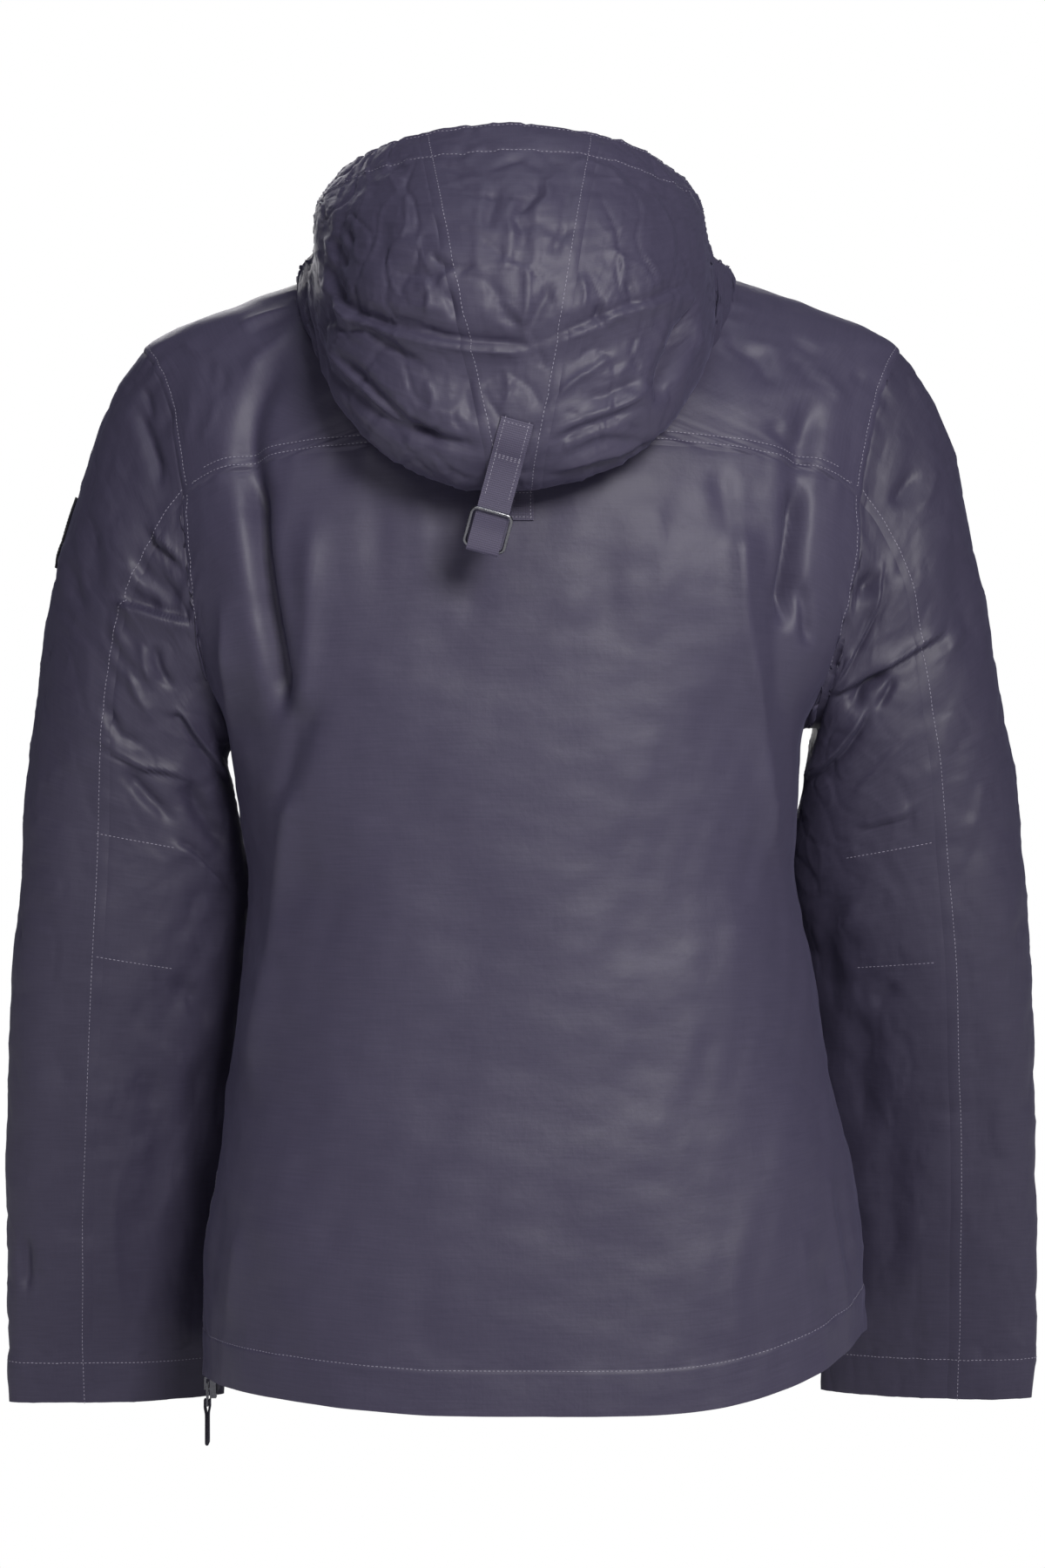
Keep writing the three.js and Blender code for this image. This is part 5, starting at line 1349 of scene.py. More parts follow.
class SkinProbe:
    """Finds places on finished panels by lines of sight."""

    def __init__(self, panels: list[Panel]) -> None:
        """Joins the panels' faces into one search tree."""
        points, faces, start = [], [], 0
        for panel in panels:
            rows, columns = panel.grid.shape[:2]
            index = start + np.arange(rows * columns).reshape(rows, columns)
            quads = np.stack([index[:-1, :-1], index[1:, :-1], index[1:, 1:], index[:-1, 1:]], axis=-1)
            points.append(panel.grid.reshape(-1, 3))
            faces += quads.reshape(-1, 4).tolist()
            start += rows * columns
        self.tree = BVHTree.FromPolygons(np.concatenate(points).tolist(), faces)

    def hit(self, start: np.ndarray, way: np.ndarray) -> tuple[np.ndarray, np.ndarray]:
        """First place on the cloth along a line, and the cloth's direction there against the line."""
        place, normal = self.tree.ray_cast(Vector(start), Vector(way))[:2]
        if place is None:
            return np.asarray(start, float), -np.asarray(way, float)
        normal = np.array(normal)
        return np.array(place), normal if normal @ way < 0 else -normal

    def from_behind(self, x: float, z: float) -> tuple[np.ndarray, np.ndarray]:
        """Place and direction of the cloth seen from behind."""
        return self.hit(np.array([x, 600.0, z]), np.array([0.0, -1.0, 0.0]))

    def row(self, ends: tuple[tuple[float, float], tuple[float, float]]) -> Row:
        """A straight row of stitches seen from behind."""
        start, end = np.array(ends)
        count = int(np.hypot(*(end - start)) / 1.5) + 2
        found = [self.from_behind(*mix(start, end, t)) for t in np.linspace(0, 1, count)]
        return Row(np.array([place for place, _ in found]), np.array([normal for _, normal in found]))


class Graph:
    """Adds nodes to a tree."""

    def __init__(self, tree: bpy.types.NodeTree) -> None:
        """Clears the tree."""
        self.tree = tree
        tree.nodes.clear()

    def node(self, kind: str, settings: dict | None = None, **sockets) -> bpy.types.Node:
        """Adds a node.

        Args:
            kind: the node's type.
            settings: its own settings, which are set first.
            sockets: values or links by socket name, with underscores for spaces.

        Returns:
            The node.
        """
        made = self.tree.nodes.new(kind)
        for name, value in (settings or {}).items():
            setattr(made, name, value)
        for name, value in sockets.items():
            socket = self.find(made, name)
            if isinstance(value, Value):
                value = value.socket
            if isinstance(value, bpy.types.NodeSocket):
                self.tree.links.new(value, socket)
            else:
                socket.default_value = value
        return made

    def out(self, kind: str, settings: dict | None = None, **sockets) -> bpy.types.NodeSocket:
        """Adds a node and returns its first output in use."""
        made = self.node(kind, settings, **sockets)
        return next(socket for socket in made.outputs if socket.enabled)

    @staticmethod
    def find(node: bpy.types.Node, name: str) -> bpy.types.NodeSocket:
        """Input socket by its name, or by its number after in_."""
        if name.startswith("in_"):
            return node.inputs[int(name[3:])]
        return node.inputs[name.replace("_", " ")]


class Value:
    """A number that a tree works out, with the usual operators."""

    def __init__(self, graph: Graph, socket: bpy.types.NodeSocket) -> None:
        """Wraps a socket."""
        self.graph, self.socket = graph, socket

    def math(self, operation: str, *others: "Value | float") -> "Value":
        """Adds a Math node whose first input is this value."""
        node = self.graph.node("ShaderNodeMath", {"operation": operation}, in_0=self,
                               **{f"in_{i + 1}": other for i, other in enumerate(others)})
        return Value(self.graph, node.outputs[0])

    def __add__(self, other: "Value | float") -> "Value":
        """Sum."""
        return self.math("ADD", other)

    def __radd__(self, other: float) -> "Value":
        """Sum with a number first."""
        return self + other

    def __sub__(self, other: "Value | float") -> "Value":
        """Difference."""
        return self.math("SUBTRACT", other)

    def __rsub__(self, other: float) -> "Value":
        """Difference from a number."""
        return self * -1.0 + other

    def __mul__(self, other: "Value | float") -> "Value":
        """Product."""
        return self.math("MULTIPLY", other)

    def __rmul__(self, other: float) -> "Value":
        """Product with a number first."""
        return self * other

    def clamped(self) -> "Value":
        """Kept between 0 and 1."""
        return Value(self.graph, self.graph.out("ShaderNodeClamp", Value=self))


class RowTree:
    """Geometry nodes that set small pieces along lines, upright on the cloth."""

    sizes: dict[str, str] = {}

    def __init__(self, name: str) -> None:
        """Builds the tree with its named inputs."""
        self.tree = bpy.data.node_groups.new(name, "GeometryNodeTree")
        self.graph = Graph(self.tree)
        self.inputs = {}
        for label, kind in {"Geometry": "NodeSocketGeometry", **self.sizes,
                            "Finish": "NodeSocketMaterial"}.items():
            self.inputs[label] = self.tree.interface.new_socket(label, in_out="INPUT", socket_type=kind)
        self.tree.interface.new_socket("Geometry", in_out="OUTPUT", socket_type="NodeSocketGeometry")
        given = self.graph.node("NodeGroupInput")
        pieces = self.pieces(given.outputs)
        real = self.graph.out("GeometryNodeRealizeInstances", Geometry=pieces)
        done = self.graph.out("GeometryNodeSetMaterial", Geometry=real, Material=given.outputs["Finish"])
        self.graph.node("NodeGroupOutput", Geometry=done)

    def upright(self, along: bpy.types.NodeSocket) -> bpy.types.NodeSocket:
        """Rotation that turns X along a direction and Z out of the cloth."""
        out = self.graph.out("GeometryNodeInputNamedAttribute", {"data_type": "FLOAT_VECTOR"}, Name="out")
        first = self.graph.out("FunctionNodeAlignRotationToVector", {"axis": "X"}, Vector=along)
        return self.graph.out("FunctionNodeAlignRotationToVector", {"axis": "Z", "pivot_axis": "X"},
                              Rotation=first, Vector=out)

    def pieces(self, given: bpy.types.NodeOutputs) -> bpy.types.NodeSocket:
        """The instances, which each kind of row makes its own way."""
        raise NotImplementedError

    def lay(self, name: str, lines: bpy.types.Object, values: dict[str, object]) -> bpy.types.Object:
        """Runs the tree on lines and keeps the result as a plain mesh.

        Args:
            name: name of the piece.
            lines: the object with the lines or points, which is used up.
            values: the inputs' values by their names.

        Returns:
            The finished object.
        """
        rows = lines.modifiers.new("rows", "NODES")
        rows.node_group = self.tree
        for label, value in values.items():
            rows[self.inputs[label].identifier] = value
        bpy.context.view_layer.update()
        seen = lines.evaluated_get(bpy.context.evaluated_depsgraph_get())
        mesh = bpy.data.meshes.new_from_object(seen)
        bpy.data.objects.remove(lines)
        return new_object(name, mesh)


class StitchTree(RowTree):
    """Short raised stitches along lines."""

    sizes = {"Pitch": "NodeSocketFloat", "Length": "NodeSocketFloat", "Width": "NodeSocketFloat",
             "Seed": "NodeSocketInt"}

    def pieces(self, given: bpy.types.NodeOutputs) -> bpy.types.NodeSocket:
        """Instances of one rounded stitch on evenly spaced points."""
        graph = self.graph
        curve = graph.out("GeometryNodeMeshToCurve", Mesh=given["Geometry"])
        even = graph.out("GeometryNodeResampleCurve", {"mode": "LENGTH"}, Curve=curve, Length=given["Pitch"])
        low = Value(graph, given["Width"]) * 0.7
        size = graph.out("ShaderNodeCombineXYZ", X=given["Length"], Y=given["Width"], Z=low)
        bead = graph.out("GeometryNodeMeshUVSphere", Segments=6, Rings=4, Radius=0.5)
        stitch = graph.out("GeometryNodeTransform", Geometry=bead, Scale=size)
        uneven = graph.out("FunctionNodeRandomValue", {"data_type": "FLOAT_VECTOR"}, in_0=(0.86, 0.85, 0.85),
                           in_1=(1.08, 1.12, 1.12), in_8=given["Seed"])
        along = graph.out("GeometryNodeInputTangent")
        return graph.out("GeometryNodeInstanceOnPoints", Points=even, Instance=stitch,
                         Rotation=self.upright(along), Scale=uneven)


class TeethTree(RowTree):
    """Moulded zip teeth on points."""

    sizes = {"Long": "NodeSocketFloat", "Thick": "NodeSocketFloat"}

    def pieces(self, given: bpy.types.NodeOutputs) -> bpy.types.NodeSocket:
        """Instances of one tooth, its foot and its rounded head."""
        graph = self.graph
        long, thick = Value(graph, given["Long"]), Value(graph, given["Thick"])
        foot_size = graph.out("ShaderNodeCombineXYZ", X=thick * 0.8, Y=long * 0.8, Z=thick)
        foot = graph.out("GeometryNodeMeshCube", Size=foot_size)
        foot = graph.out("GeometryNodeTransform", Geometry=foot,
                         Translation=graph.out("ShaderNodeCombineXYZ", Y=long * -0.35))
        bead = graph.out("GeometryNodeMeshUVSphere", Segments=8, Rings=4, Radius=0.5)
        head = graph.out("GeometryNodeTransform", Geometry=bead,
                         Translation=graph.out("ShaderNodeCombineXYZ", Y=long * 0.18),
                         Scale=graph.out("ShaderNodeCombineXYZ", X=thick * 1.05, Y=long * 0.55, Z=thick * 1.2))
        join = graph.node("GeometryNodeJoinGeometry")
        for part in (foot, head):
            graph.tree.links.new(part, join.inputs[0])
        along = graph.out("GeometryNodeInputNamedAttribute", {"data_type": "FLOAT_VECTOR"}, Name="run")
        return graph.out("GeometryNodeInstanceOnPoints", Points=given["Geometry"], Instance=join.outputs[0],
                         Rotation=self.upright(along))


def line_object(name: str, rows: list[Row], lift: float) -> bpy.types.Object:
    """Mesh of open lines that carries the cloth's direction.

    Args:
        name: the object's name.
        rows: the lines, in millimetres.
        lift: how far they lie off the cloth.

    Returns:
        The object.
    """
    points = np.concatenate([row.points + row.normals * lift for row in rows]) * MM
    starts = np.cumsum([0] + [len(row.points) for row in rows])
    edges = [(i, i + 1) for a, b in zip(starts, starts[1:]) for i in range(a, b - 1)]
    mesh = bpy.data.meshes.new(name)
    mesh.from_pydata(points.tolist(), edges, [])
    out = mesh.attributes.new("out", "FLOAT_VECTOR", "POINT")
    out.data.foreach_set("vector", np.concatenate([row.normals for row in rows]).ravel())
    return new_object(name, mesh)


@dataclass(frozen=True)
class Stitching:
    """Topstitching in grey thread."""

    pitch: float = 2.7
    length: float = 1.9
    width: float = 0.5
    lift: float = 0.06

    def sew(self, tree: StitchTree, name: str, rows: list[Row], thread: bpy.types.Material, seed: int) -> None:
        """Lays rows of stitches as one piece.

        Args:
            tree: the stitch tree.
            name: name of the piece.
            rows: the lines that the stitches follow.
            thread: the thread's finish.
            seed: fixed seed of the stitches' unevenness.
        """
        lines = line_object(f"{name}_lines", rows, self.lift)
        piece = tree.lay(name, lines, {"Pitch": self.pitch * MM, "Length": self.length * MM,
                                       "Width": self.width * MM, "Finish": thread, "Seed": seed})
        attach(piece, GARMENT)
        log.info("%s: %d faces", name, len(piece.data.polygons))


class Topstitching:
    """All rows of stitches on the cloth panels."""

    darts = (((274, -357), (226, -366)), ((275, -437), (229, -445)),
             ((-263, -363), (-211, -373)), ((-266, -441), (-220, -445)))

    def __init__(self, cloth: AnorakCloth) -> None:
        """Keeps the finished panels."""
        self.cloth = cloth

    def sew(self, tree: StitchTree, thread: bpy.types.Material) -> None:
        """Sews body, sleeves and hood.

        Args:
            tree: the stitch tree.
            thread: the thread's finish.
        """
        groups: dict[str, list[Row]] = {"body": [], "sleeve": [], "hood": []}
        panels = self.cloth.panels
        for row in self.cloth.stitch_rows():
            group = row.panel.split("_")[0]
            line = panels[row.panel].line_at(row.edge, row.distance, row.start, row.end)
            groups[group if group in groups else "body"].append(line)
        for dart in self.darts:
            label = "left" if dart[0][0] > 0 else "right"
            probe = SkinProbe([panels[f"sleeve_{part}_{label}"] for part in ("upper", "under")])
            groups["sleeve"].append(probe.row(dart))
        for seed, (name, rows) in enumerate(groups.items()):
            Stitching().sew(tree, f"{name}_stitches", rows, thread, seed)


@dataclass(frozen=True)
class HoodStrap:
    """The webbing from the hood through the ring to its anchor on the back."""

    x: float = 3.0
    z: float = -106.0
    slant: float = 15.4
    half: float = 10.0
    on_hood: float = 24.0
    wall: float = 1.4
    round: float = 2.35
    top: tuple[float, float] = (56.5, 184.0)
    low: tuple[float, float] = (79.0, 176.0)
    anchor_x: float = 5.0
    anchor_z: float = -152.0
    anchor_half: float = 12.0
    anchor_tall: float = 9.5
    anchor_wall: float = 1.2
    ring_half: float = 12.4
    ring_corner: float = 3.5
    ring_wire: float = 1.1
    # Free run of the strap: the place it is near, the offsets from it and the side it lies on
    run: tuple[tuple[str, float, float, float, float], ...] = (
        ("top", -22.5, 1.5, 0, -1), ("top", -6, 0, 0, -1), ("top", 1, -0.2, 0, -1), ("low", -12, 0.4, 0, 1),
        ("low", -3, 0, 0, 1), ("low", 0, 0, 0.72, 0.72), ("low", 0, 0, 1, 0), ("low", 0, 0, 0.6, -0.85),
        ("low", -5, -1, 0, -1), ("low", -17, -14, 0, 0), ("anchor", -27, 4, 0, 0), ("anchor", -31, 0, 0, 0),
        ("anchor", -37, 0, 0, 0))

    def place(self, down: np.ndarray, out: np.ndarray, across: np.ndarray) -> np.ndarray:
        """Points from the strap's own axes: down the slant, out to the back and across."""
        s, c = math.sin(math.radians(self.slant)), math.cos(math.radians(self.slant))
        down, out, across = np.broadcast_arrays(down, out, across)
        return np.stack([self.x + down * s + across * c, out + 0.0 * down, self.z - down * c + across * s], axis=-1)

    def path(self, hood: SkinProbe, back: SkinProbe) -> np.ndarray:
        """The strap's middle line as rows of down and out."""
        line = []
        for down in np.linspace(0, self.on_hood, 5):
            seen = [self.place(down, 0, across) for across in (-self.half, 0, self.half)]
            line.append((down, max(hood.from_behind(at[0], at[2])[0][1] for at in seen) + self.wall / 2 + LIE_GAP))
        base = back.from_behind(self.anchor_x, self.anchor_z)[0][1]
        anchor_y = base + self.anchor_wall + 2 * LIE_GAP + self.wall / 2 + 0.4
        places = {"top": self.top, "low": self.low, "anchor": (self.low[0], anchor_y)}
        for near, down, out, turn_down, turn_out in self.run:
            base_down, base_out = places[near]
            line.append((base_down + down + self.round * turn_down, base_out + out + self.round * turn_out))
        return curve_through(np.array(line), 7)

    def build(self, cloth: AnorakCloth, tree: StitchTree, finishes: dict[str, bpy.types.Material]) -> None:
        """Makes strap, ring, anchor and their stitches.

        Args:
            cloth: the finished panels.
            tree: the stitch tree.
            finishes: materials by finish slot.
        """
        hood = SkinProbe([cloth.panels[name] for name in cloth.panels if name.startswith("hood")])
        back = SkinProbe([cloth.panels["back_panel"]])
        line = self.path(hood, back)
        across = np.linspace(self.half, -self.half, 11)
        grid = self.place(line[:, :1], line[:, 1:], across[None, :])
        strap = grid_mesh("strap_webbing", grid, False, 1)
        wear_cloth(strap, "hood_strap", "shell", finishes["webbing"], self.wall, 0.0)
        self.ring(finishes)
        rows = self.strap_rows(line) + self.anchor(back, finishes)
        Stitching(2.2, 1.6, 0.5).sew(tree, "strap_stitches", rows, finishes["thread"], 7)

    def strap_rows(self, line: np.ndarray) -> list[Row]:
        """Stitches along the strap's edges, its top and its bar tack."""
        keep = line[(np.arange(len(line)) < 60) & (line[:, 0] < 48)]
        way = unit(np.gradient(keep, axis=0))
        out = np.stack([-way[:, 1], way[:, 0]], axis=1)
        normal = self.place(out[:, 0], out[:, 1], 0.0) - self.place(0.0, 0.0, 0.0)
        inset = self.half - 2.6
        rows = []
        for side in (-inset, inset):
            face = keep + out * self.wall / 2
            rows.append(Row(self.place(face[:, 0], face[:, 1], side), normal))
        for down in (2.6, 22.0, 23.2, 24.4):
            t = np.linspace(-inset, inset, 12)
            at = int(np.argmin(np.abs(keep[:, 0] - down)))
            face = keep[at] + out[at] * self.wall / 2
            rows.append(Row(self.place(face[0] + 0 * t, face[1] + 0 * t, t), np.tile(normal[at], (12, 1))))
        return rows

    def ring(self, finishes: dict[str, bpy.types.Material]) -> None:
        """Makes the metal ring that the strap runs through."""
        top, low = np.array(self.top), np.array(self.low)
        tall = float(np.linalg.norm(low - top)) / 2
        way, middle = (low - top) / (2 * tall), (top + low) / 2
        corners = []
        for sx, sy, start in ((1, 1, 0), (-1, 1, 90), (-1, -1, 180), (1, -1, 270)):
            for turn in np.radians(np.linspace(start, start + 90, 7)):
                corners.append(((self.ring_half - self.ring_corner) * sx + self.ring_corner * math.cos(turn),
                                (tall - self.ring_corner) * sy + self.ring_corner * math.sin(turn)))
        flat = np.array(corners)
        centre = self.place(middle[0] + way[0] * flat[:, 1], middle[1] + way[1] * flat[:, 1], flat[:, 0])
        along = unit(np.roll(centre, -1, axis=0) - np.roll(centre, 1, axis=0))
        up = self.place(-way[1], way[0], 0.0) - self.place(0.0, 0.0, 0.0)
        out = unit(np.cross(along, up))
        turns = np.radians(np.arange(12) * 30.0)
        wire = (centre[:, None] + self.ring_wire * (out[:, None] * np.cos(turns)[None, :, None]
                                                    + up * np.sin(turns)[None, :, None]))
        piece = grid_mesh("ring_wire", wire, True, 1, True)
        face_out(piece)
        piece.data.materials.append(finishes["gunmetal"])
        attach(piece, GARMENT)
        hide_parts("strap_ring")

    def anchor(self, back: SkinProbe, finishes: dict[str, bpy.types.Material]) -> list[Row]:
        """Makes the small tab on the back, and returns its stitch lines."""
        x = self.anchor_x + np.linspace(self.anchor_half, -self.anchor_half, 15)
        z = self.anchor_z + np.linspace(self.anchor_tall, -self.anchor_tall, 13)
        grid = np.array([[back.from_behind(a, b)[0] for a in x] for b in z])
        grid[..., 1] += LIE_GAP + 0.2 + self.anchor_wall
        tab = grid_mesh("anchor_tab", grid, False, 1)
        wear_cloth(tab, "strap_anchor", "shell", finishes["webbing"], self.anchor_wall, -1.0)
        panel = Panel("anchor", grid, 1)
        panel.find_normals()
        return [panel.line_at(edge, 2.0, 1, -1) for edge in "tblr"]


@dataclass(frozen=True)
class SleevePatch:
    """The blank patch on the outside of the left sleeve."""

    start: float = -42.0
    end: float = 7.0
    top: float = -138.0
    bottom: float = -184.0
    wall: float = 1.2

    def build(self, cloth: AnorakCloth, tree: StitchTree, finishes: dict[str, bpy.types.Material]) -> None:
        """Makes the patch and its stitched border.

        Args:
            cloth: the finished panels.
            tree: the stitch tree.
            finishes: materials by finish slot.
        """
        angle = np.broadcast_to(np.linspace(self.start, self.end, 33)[None, :], (29, 33))
        z = np.broadcast_to(np.linspace(self.top, self.bottom, 29)[:, None], (29, 33))
        low, high = np.zeros(z.shape), np.full(z.shape, 8.0)
        for _ in range(30):
            at = (low + high) / 2
            above = cloth.sleeve.point(1, at, angle)[..., 2] > z
            low, high = np.where(above, at, low), np.where(above, high, at)
        plain = Panel("patch", cloth.sleeve.point(1, low, angle), 1)
        plain.find_normals()
        probe = SkinProbe([cloth.panels["sleeve_upper_left"]])
        far = plain.grid + plain.normals * 25
        depth = np.array([[(probe.hit(far[i, j], -plain.normals[i, j])[0] - far[i, j]) @ plain.normals[i, j]
                           for j in range(33)] for i in range(29)])
        grid = far + plain.normals * (depth + LIE_GAP + 0.2 + self.wall)[..., None]
        piece = grid_mesh("patch_cloth", grid, False, 1)
        wear_cloth(piece, "sleeve_patch", "patch", finishes["patch"], self.wall, -1.0)
        panel = Panel("patch", grid, 1)
        panel.find_normals()
        rows = [panel.line_at(edge, 1.8, 1, -1) for edge in "tblr"]
        Stitching(2.2, 1.6, 0.45).sew(tree, "patch_stitches", rows, finishes["thread"], 8)


@dataclass(frozen=True)
class SideZip:
    """The zip in the wearer's left side, with its tape, teeth and the pull's woven end."""

    pitch: float = 2.4
    tooth: float = 3.0
    thick: float = 1.3
    teeth_end: float = -711.5
    pull_x: float = 206.25
    pull_top: float = -727.5
    pull_bottom: float = -757.5
    pull_half: float = 4.0
    pull_wall: float = 1.2
    leaf_at_tab: float = 1.55
    leaf_below: float = 0.75

    @staticmethod
    def face_x(body: BodyForm, y: np.ndarray, z: np.ndarray) -> np.ndarray:
        """Sideways place of the tape's face."""
        depth = TAPE_DEPTH + TAPE_TUCK * smooth((TAPE_TUCK_Z - z) / TAPE_TUCK_RUN)
        return body.curve["shift"](z) + body.reach(y, z) - depth

    def build(self, body: BodyForm, finishes: dict[str, bpy.types.Material]) -> None:
        """Makes the tape, its teeth and the pull's woven end.

        Args:
            body: the body form whose side the tape follows.
            finishes: materials by finish slot.
        """
        z = np.linspace(ZIP_TOP_Z + TAPE_ABOVE, ZIP_BOTTOM_Z, 90)[:, None]
        y = np.linspace(-TAPE_HALF, TAPE_HALF, 13)[None, :]
        grid = np.stack(np.broadcast_arrays(self.face_x(body, y, z), y, z), axis=-1)
        tape = grid_mesh("zip_tape", grid, False, 1)
        wear_cloth(tape, "side_zip_tape", "zip_tape", finishes["zip_tape"], TAPE_WALL, -1.0)
        self.teeth(body, finishes["zip_tape"])
        self.pull(finishes)

    def teeth(self, body: BodyForm, finish: bpy.types.Material) -> None:
        """Sets two rows of teeth that mesh along the middle of the tape."""
        z = np.arange(ZIP_TOP_Z - 6, self.teeth_end, -self.pitch / 2)
        side = np.where(np.arange(len(z)) % 2 == 0, 1.0, -1.0)
        y = side * self.tooth * 0.12
        x = self.face_x(body, y, z) + self.thick * 0.3
        mesh = bpy.data.meshes.new("zip_teeth_points")
        mesh.from_pydata((np.stack([x, y, z], axis=-1) * MM).tolist(), [], [])
        for name, vectors in (("run", np.stack([0 * z, 0 * z, side], axis=-1)),
                              ("out", np.tile([1.0, 0.0, 0.0], (len(z), 1)))):
            made = mesh.attributes.new(name, "FLOAT_VECTOR", "POINT")
            made.data.foreach_set("vector", vectors.ravel())
        points = new_object("zip_teeth_points", mesh)
        values = {"Long": self.tooth * MM, "Thick": self.thick * MM, "Finish": finish}
        piece = TeethTree("zip_teeth").lay("zip_teeth", points, values)
        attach(piece, GARMENT)
        log.info("zip_teeth: %d faces", len(piece.data.polygons))

    def pull(self, finishes: dict[str, bpy.types.Material]) -> None:
        """Makes the folded strip that ends the pull."""
        near, far = self.leaf_at_tab, self.leaf_below
        line = [(near, 0), (near, 2.5), (near, 5), (1.0, 8), (far, 11), (far, 20), (far, 27.5), (0.55, 28.9)]
        half = [(x, -down) for x, down in line]
        loop = np.array(half + [(0.0, -29.3)] + [(-x, z) for x, z in half[::-1]])
        path = curve_through(loop, 4)
        y = np.linspace(-self.pull_half, self.pull_half, 9)
        x, z = self.pull_x + path[:, 0], self.pull_top + path[:, 1]
        grid = np.stack(np.broadcast_arrays(x[:, None], y[None, :], z[:, None]), axis=-1)
        piece = grid_mesh("pull_webbing", grid, False, 1)
        wear_cloth(piece, "side_zip_cord_pull", "pull_cord", finishes["pull_cord"], self.pull_wall, 0.0, ZIP_PULL)


def face_out(piece: bpy.types.Object) -> None:
    """Points the faces of a closed piece outwards."""
    mesh = bmesh.new()
    mesh.from_mesh(piece.data)
    bmesh.ops.recalc_face_normals(mesh, faces=mesh.faces)
    mesh.to_mesh(piece.data)
    mesh.free()


class Shader:
    """Common parts of the material trees."""

    def __init__(self, name: str) -> None:
        """Starts a material."""
        self.material = bpy.data.materials.new(name)
        self.material.use_nodes = True
        self.graph = Graph(self.material.node_tree)
        self.objects = self.graph.node("ShaderNodeTexCoord").outputs["Object"]

    def cloth(self) -> bpy.types.NodeSocket:
        """Place on the cloth's own map."""
        return self.graph.out("ShaderNodeUVMap", {"uv_map": "cloth"})

    def noise(self, place: bpy.types.NodeSocket, scale: float | tuple[float, float, float], detail: float,
              roughness: float = 0.5) -> Value:
        """Noise at a place, with one scale or one for each axis."""
        if isinstance(scale, tuple):
            place = self.graph.out("ShaderNodeMapping", Vector=place, Scale=scale)
            scale = 1.0
        return Value(self.graph, self.graph.out("ShaderNodeTexNoise", Vector=place, Scale=scale, Detail=detail,
                                                Roughness=roughness))

    def threads(self, place: bpy.types.NodeSocket, axis: str, pitch: float) -> Value:
        """Rounded threads that repeat along an axis."""
        node = self.graph.node("ShaderNodeTexWave", {"bands_direction": axis}, Vector=place,
                               Scale=math.pi / 10 / pitch)
        return Value(self.graph, node.outputs[1])

    def blend(self, share: Value, low: tuple[float, float, float],
              high: tuple[float, float, float]) -> bpy.types.NodeSocket:
        """Colour between two others."""
        return self.graph.out("ShaderNodeMix", {"data_type": "RGBA"}, in_0=share, in_6=(*low, 1), in_7=(*high, 1))

    def bump(self, height: Value, strength: float, depth: float,
             before: bpy.types.NodeSocket | None = None) -> bpy.types.NodeSocket:
        """Direction of a surface with a fine relief."""
        more = {"Normal": before} if before else {}
        return self.graph.out("ShaderNodeBump", Strength=strength, Distance=depth, Height=height, **more)

    def finish(self, constants: dict[str, object], **linked) -> bpy.types.Material:
        """Ends the tree.

        Args:
            constants: socket values that are the same all over.
            linked: sockets that change over the surface.

        Returns:
            The material.
        """
        shader = self.graph.node("ShaderNodeBsdfPrincipled", **linked)
        for name, value in constants.items():
            shader.inputs[name].default_value = value
        self.graph.node("ShaderNodeOutputMaterial", Surface=shader.outputs[0])
        return self.material


@dataclass(frozen=True)
class Taffeta:
    """Dark nylon taffeta with a soft shine, a fine weave and faint cross slubs."""

    name: str
    colour: tuple[float, float, float]
    deep_colour: tuple[float, float, float]
    roughness: float = 0.5
    weave: float = 0.0006

    def make(self) -> bpy.types.Material:
        """Builds the material."""
        shader = Shader(self.name)
        uv = shader.cloth()
        slub = shader.noise(uv, (38.0, 760.0, 1.0), 3.0, 0.6)
        cross = shader.noise(uv, (820.0, 60.0, 1.0), 2.0)
        cloud = shader.noise(shader.objects, 9.0, 3.0)
        warp, weft = (shader.threads(uv, axis, self.weave) for axis in "XY")
        tone = (0.5 + (slub - 0.5) * 1.4 + (cross - 0.5) * 0.5 + (cloud - 0.5) * 0.3).clamped()
        rough = (self.roughness + (cloud - 0.5) * 0.06 + (slub - 0.5) * 0.08).clamped()
        relief = warp * 0.4 + weft * 0.5 + slub * 0.9 + cross * 0.4
        fine = shader.bump(relief, 0.2, 0.00012)
        crumple = shader.noise(shader.objects, 85.0, 5.0, 0.55)
        normal = shader.bump(crumple, 0.45, 0.0008, fine)
        return shader.finish({"Specular IOR Level": 0.4, "Sheen Weight": 0.1, "Sheen Roughness": 0.4,
                              "Sheen Tint": (0.6, 0.58, 0.95, 1)},
                             Base_Color=shader.blend(tone, self.deep_colour, self.colour), Roughness=rough,
                             Normal=normal)


@dataclass(frozen=True)
class Webbing:
    """Woven tape with ribs across its length."""

    name: str
    colour: tuple[float, float, float]
    deep_colour: tuple[float, float, float]
    rib: float = 0.0013
    roughness: float = 0.6

    def make(self) -> bpy.types.Material:
        """Builds the material."""
        shader = Shader(self.name)
        uv = shader.cloth()
        ribs, cords = shader.threads(uv, "Y", self.rib), shader.threads(uv, "X", self.rib * 0.8)
        grain = shader.noise(uv, 1400.0, 2.0)
        tone = (ribs * 0.45 + cords * 0.25 + grain * 0.4).clamped()
        rough = (self.roughness + (grain - 0.5) * 0.15).clamped()
        normal = shader.bump(ribs * 0.6 + cords * 0.4 + grain * 0.3, 0.5, 0.0003)
        return shader.finish({"Specular IOR Level": 0.4, "Sheen Weight": 0.15, "Sheen Tint": (0.6, 0.58, 0.9, 1)},
                             Base_Color=shader.blend(tone, self.deep_colour, self.colour), Roughness=rough,
                             Normal=normal)


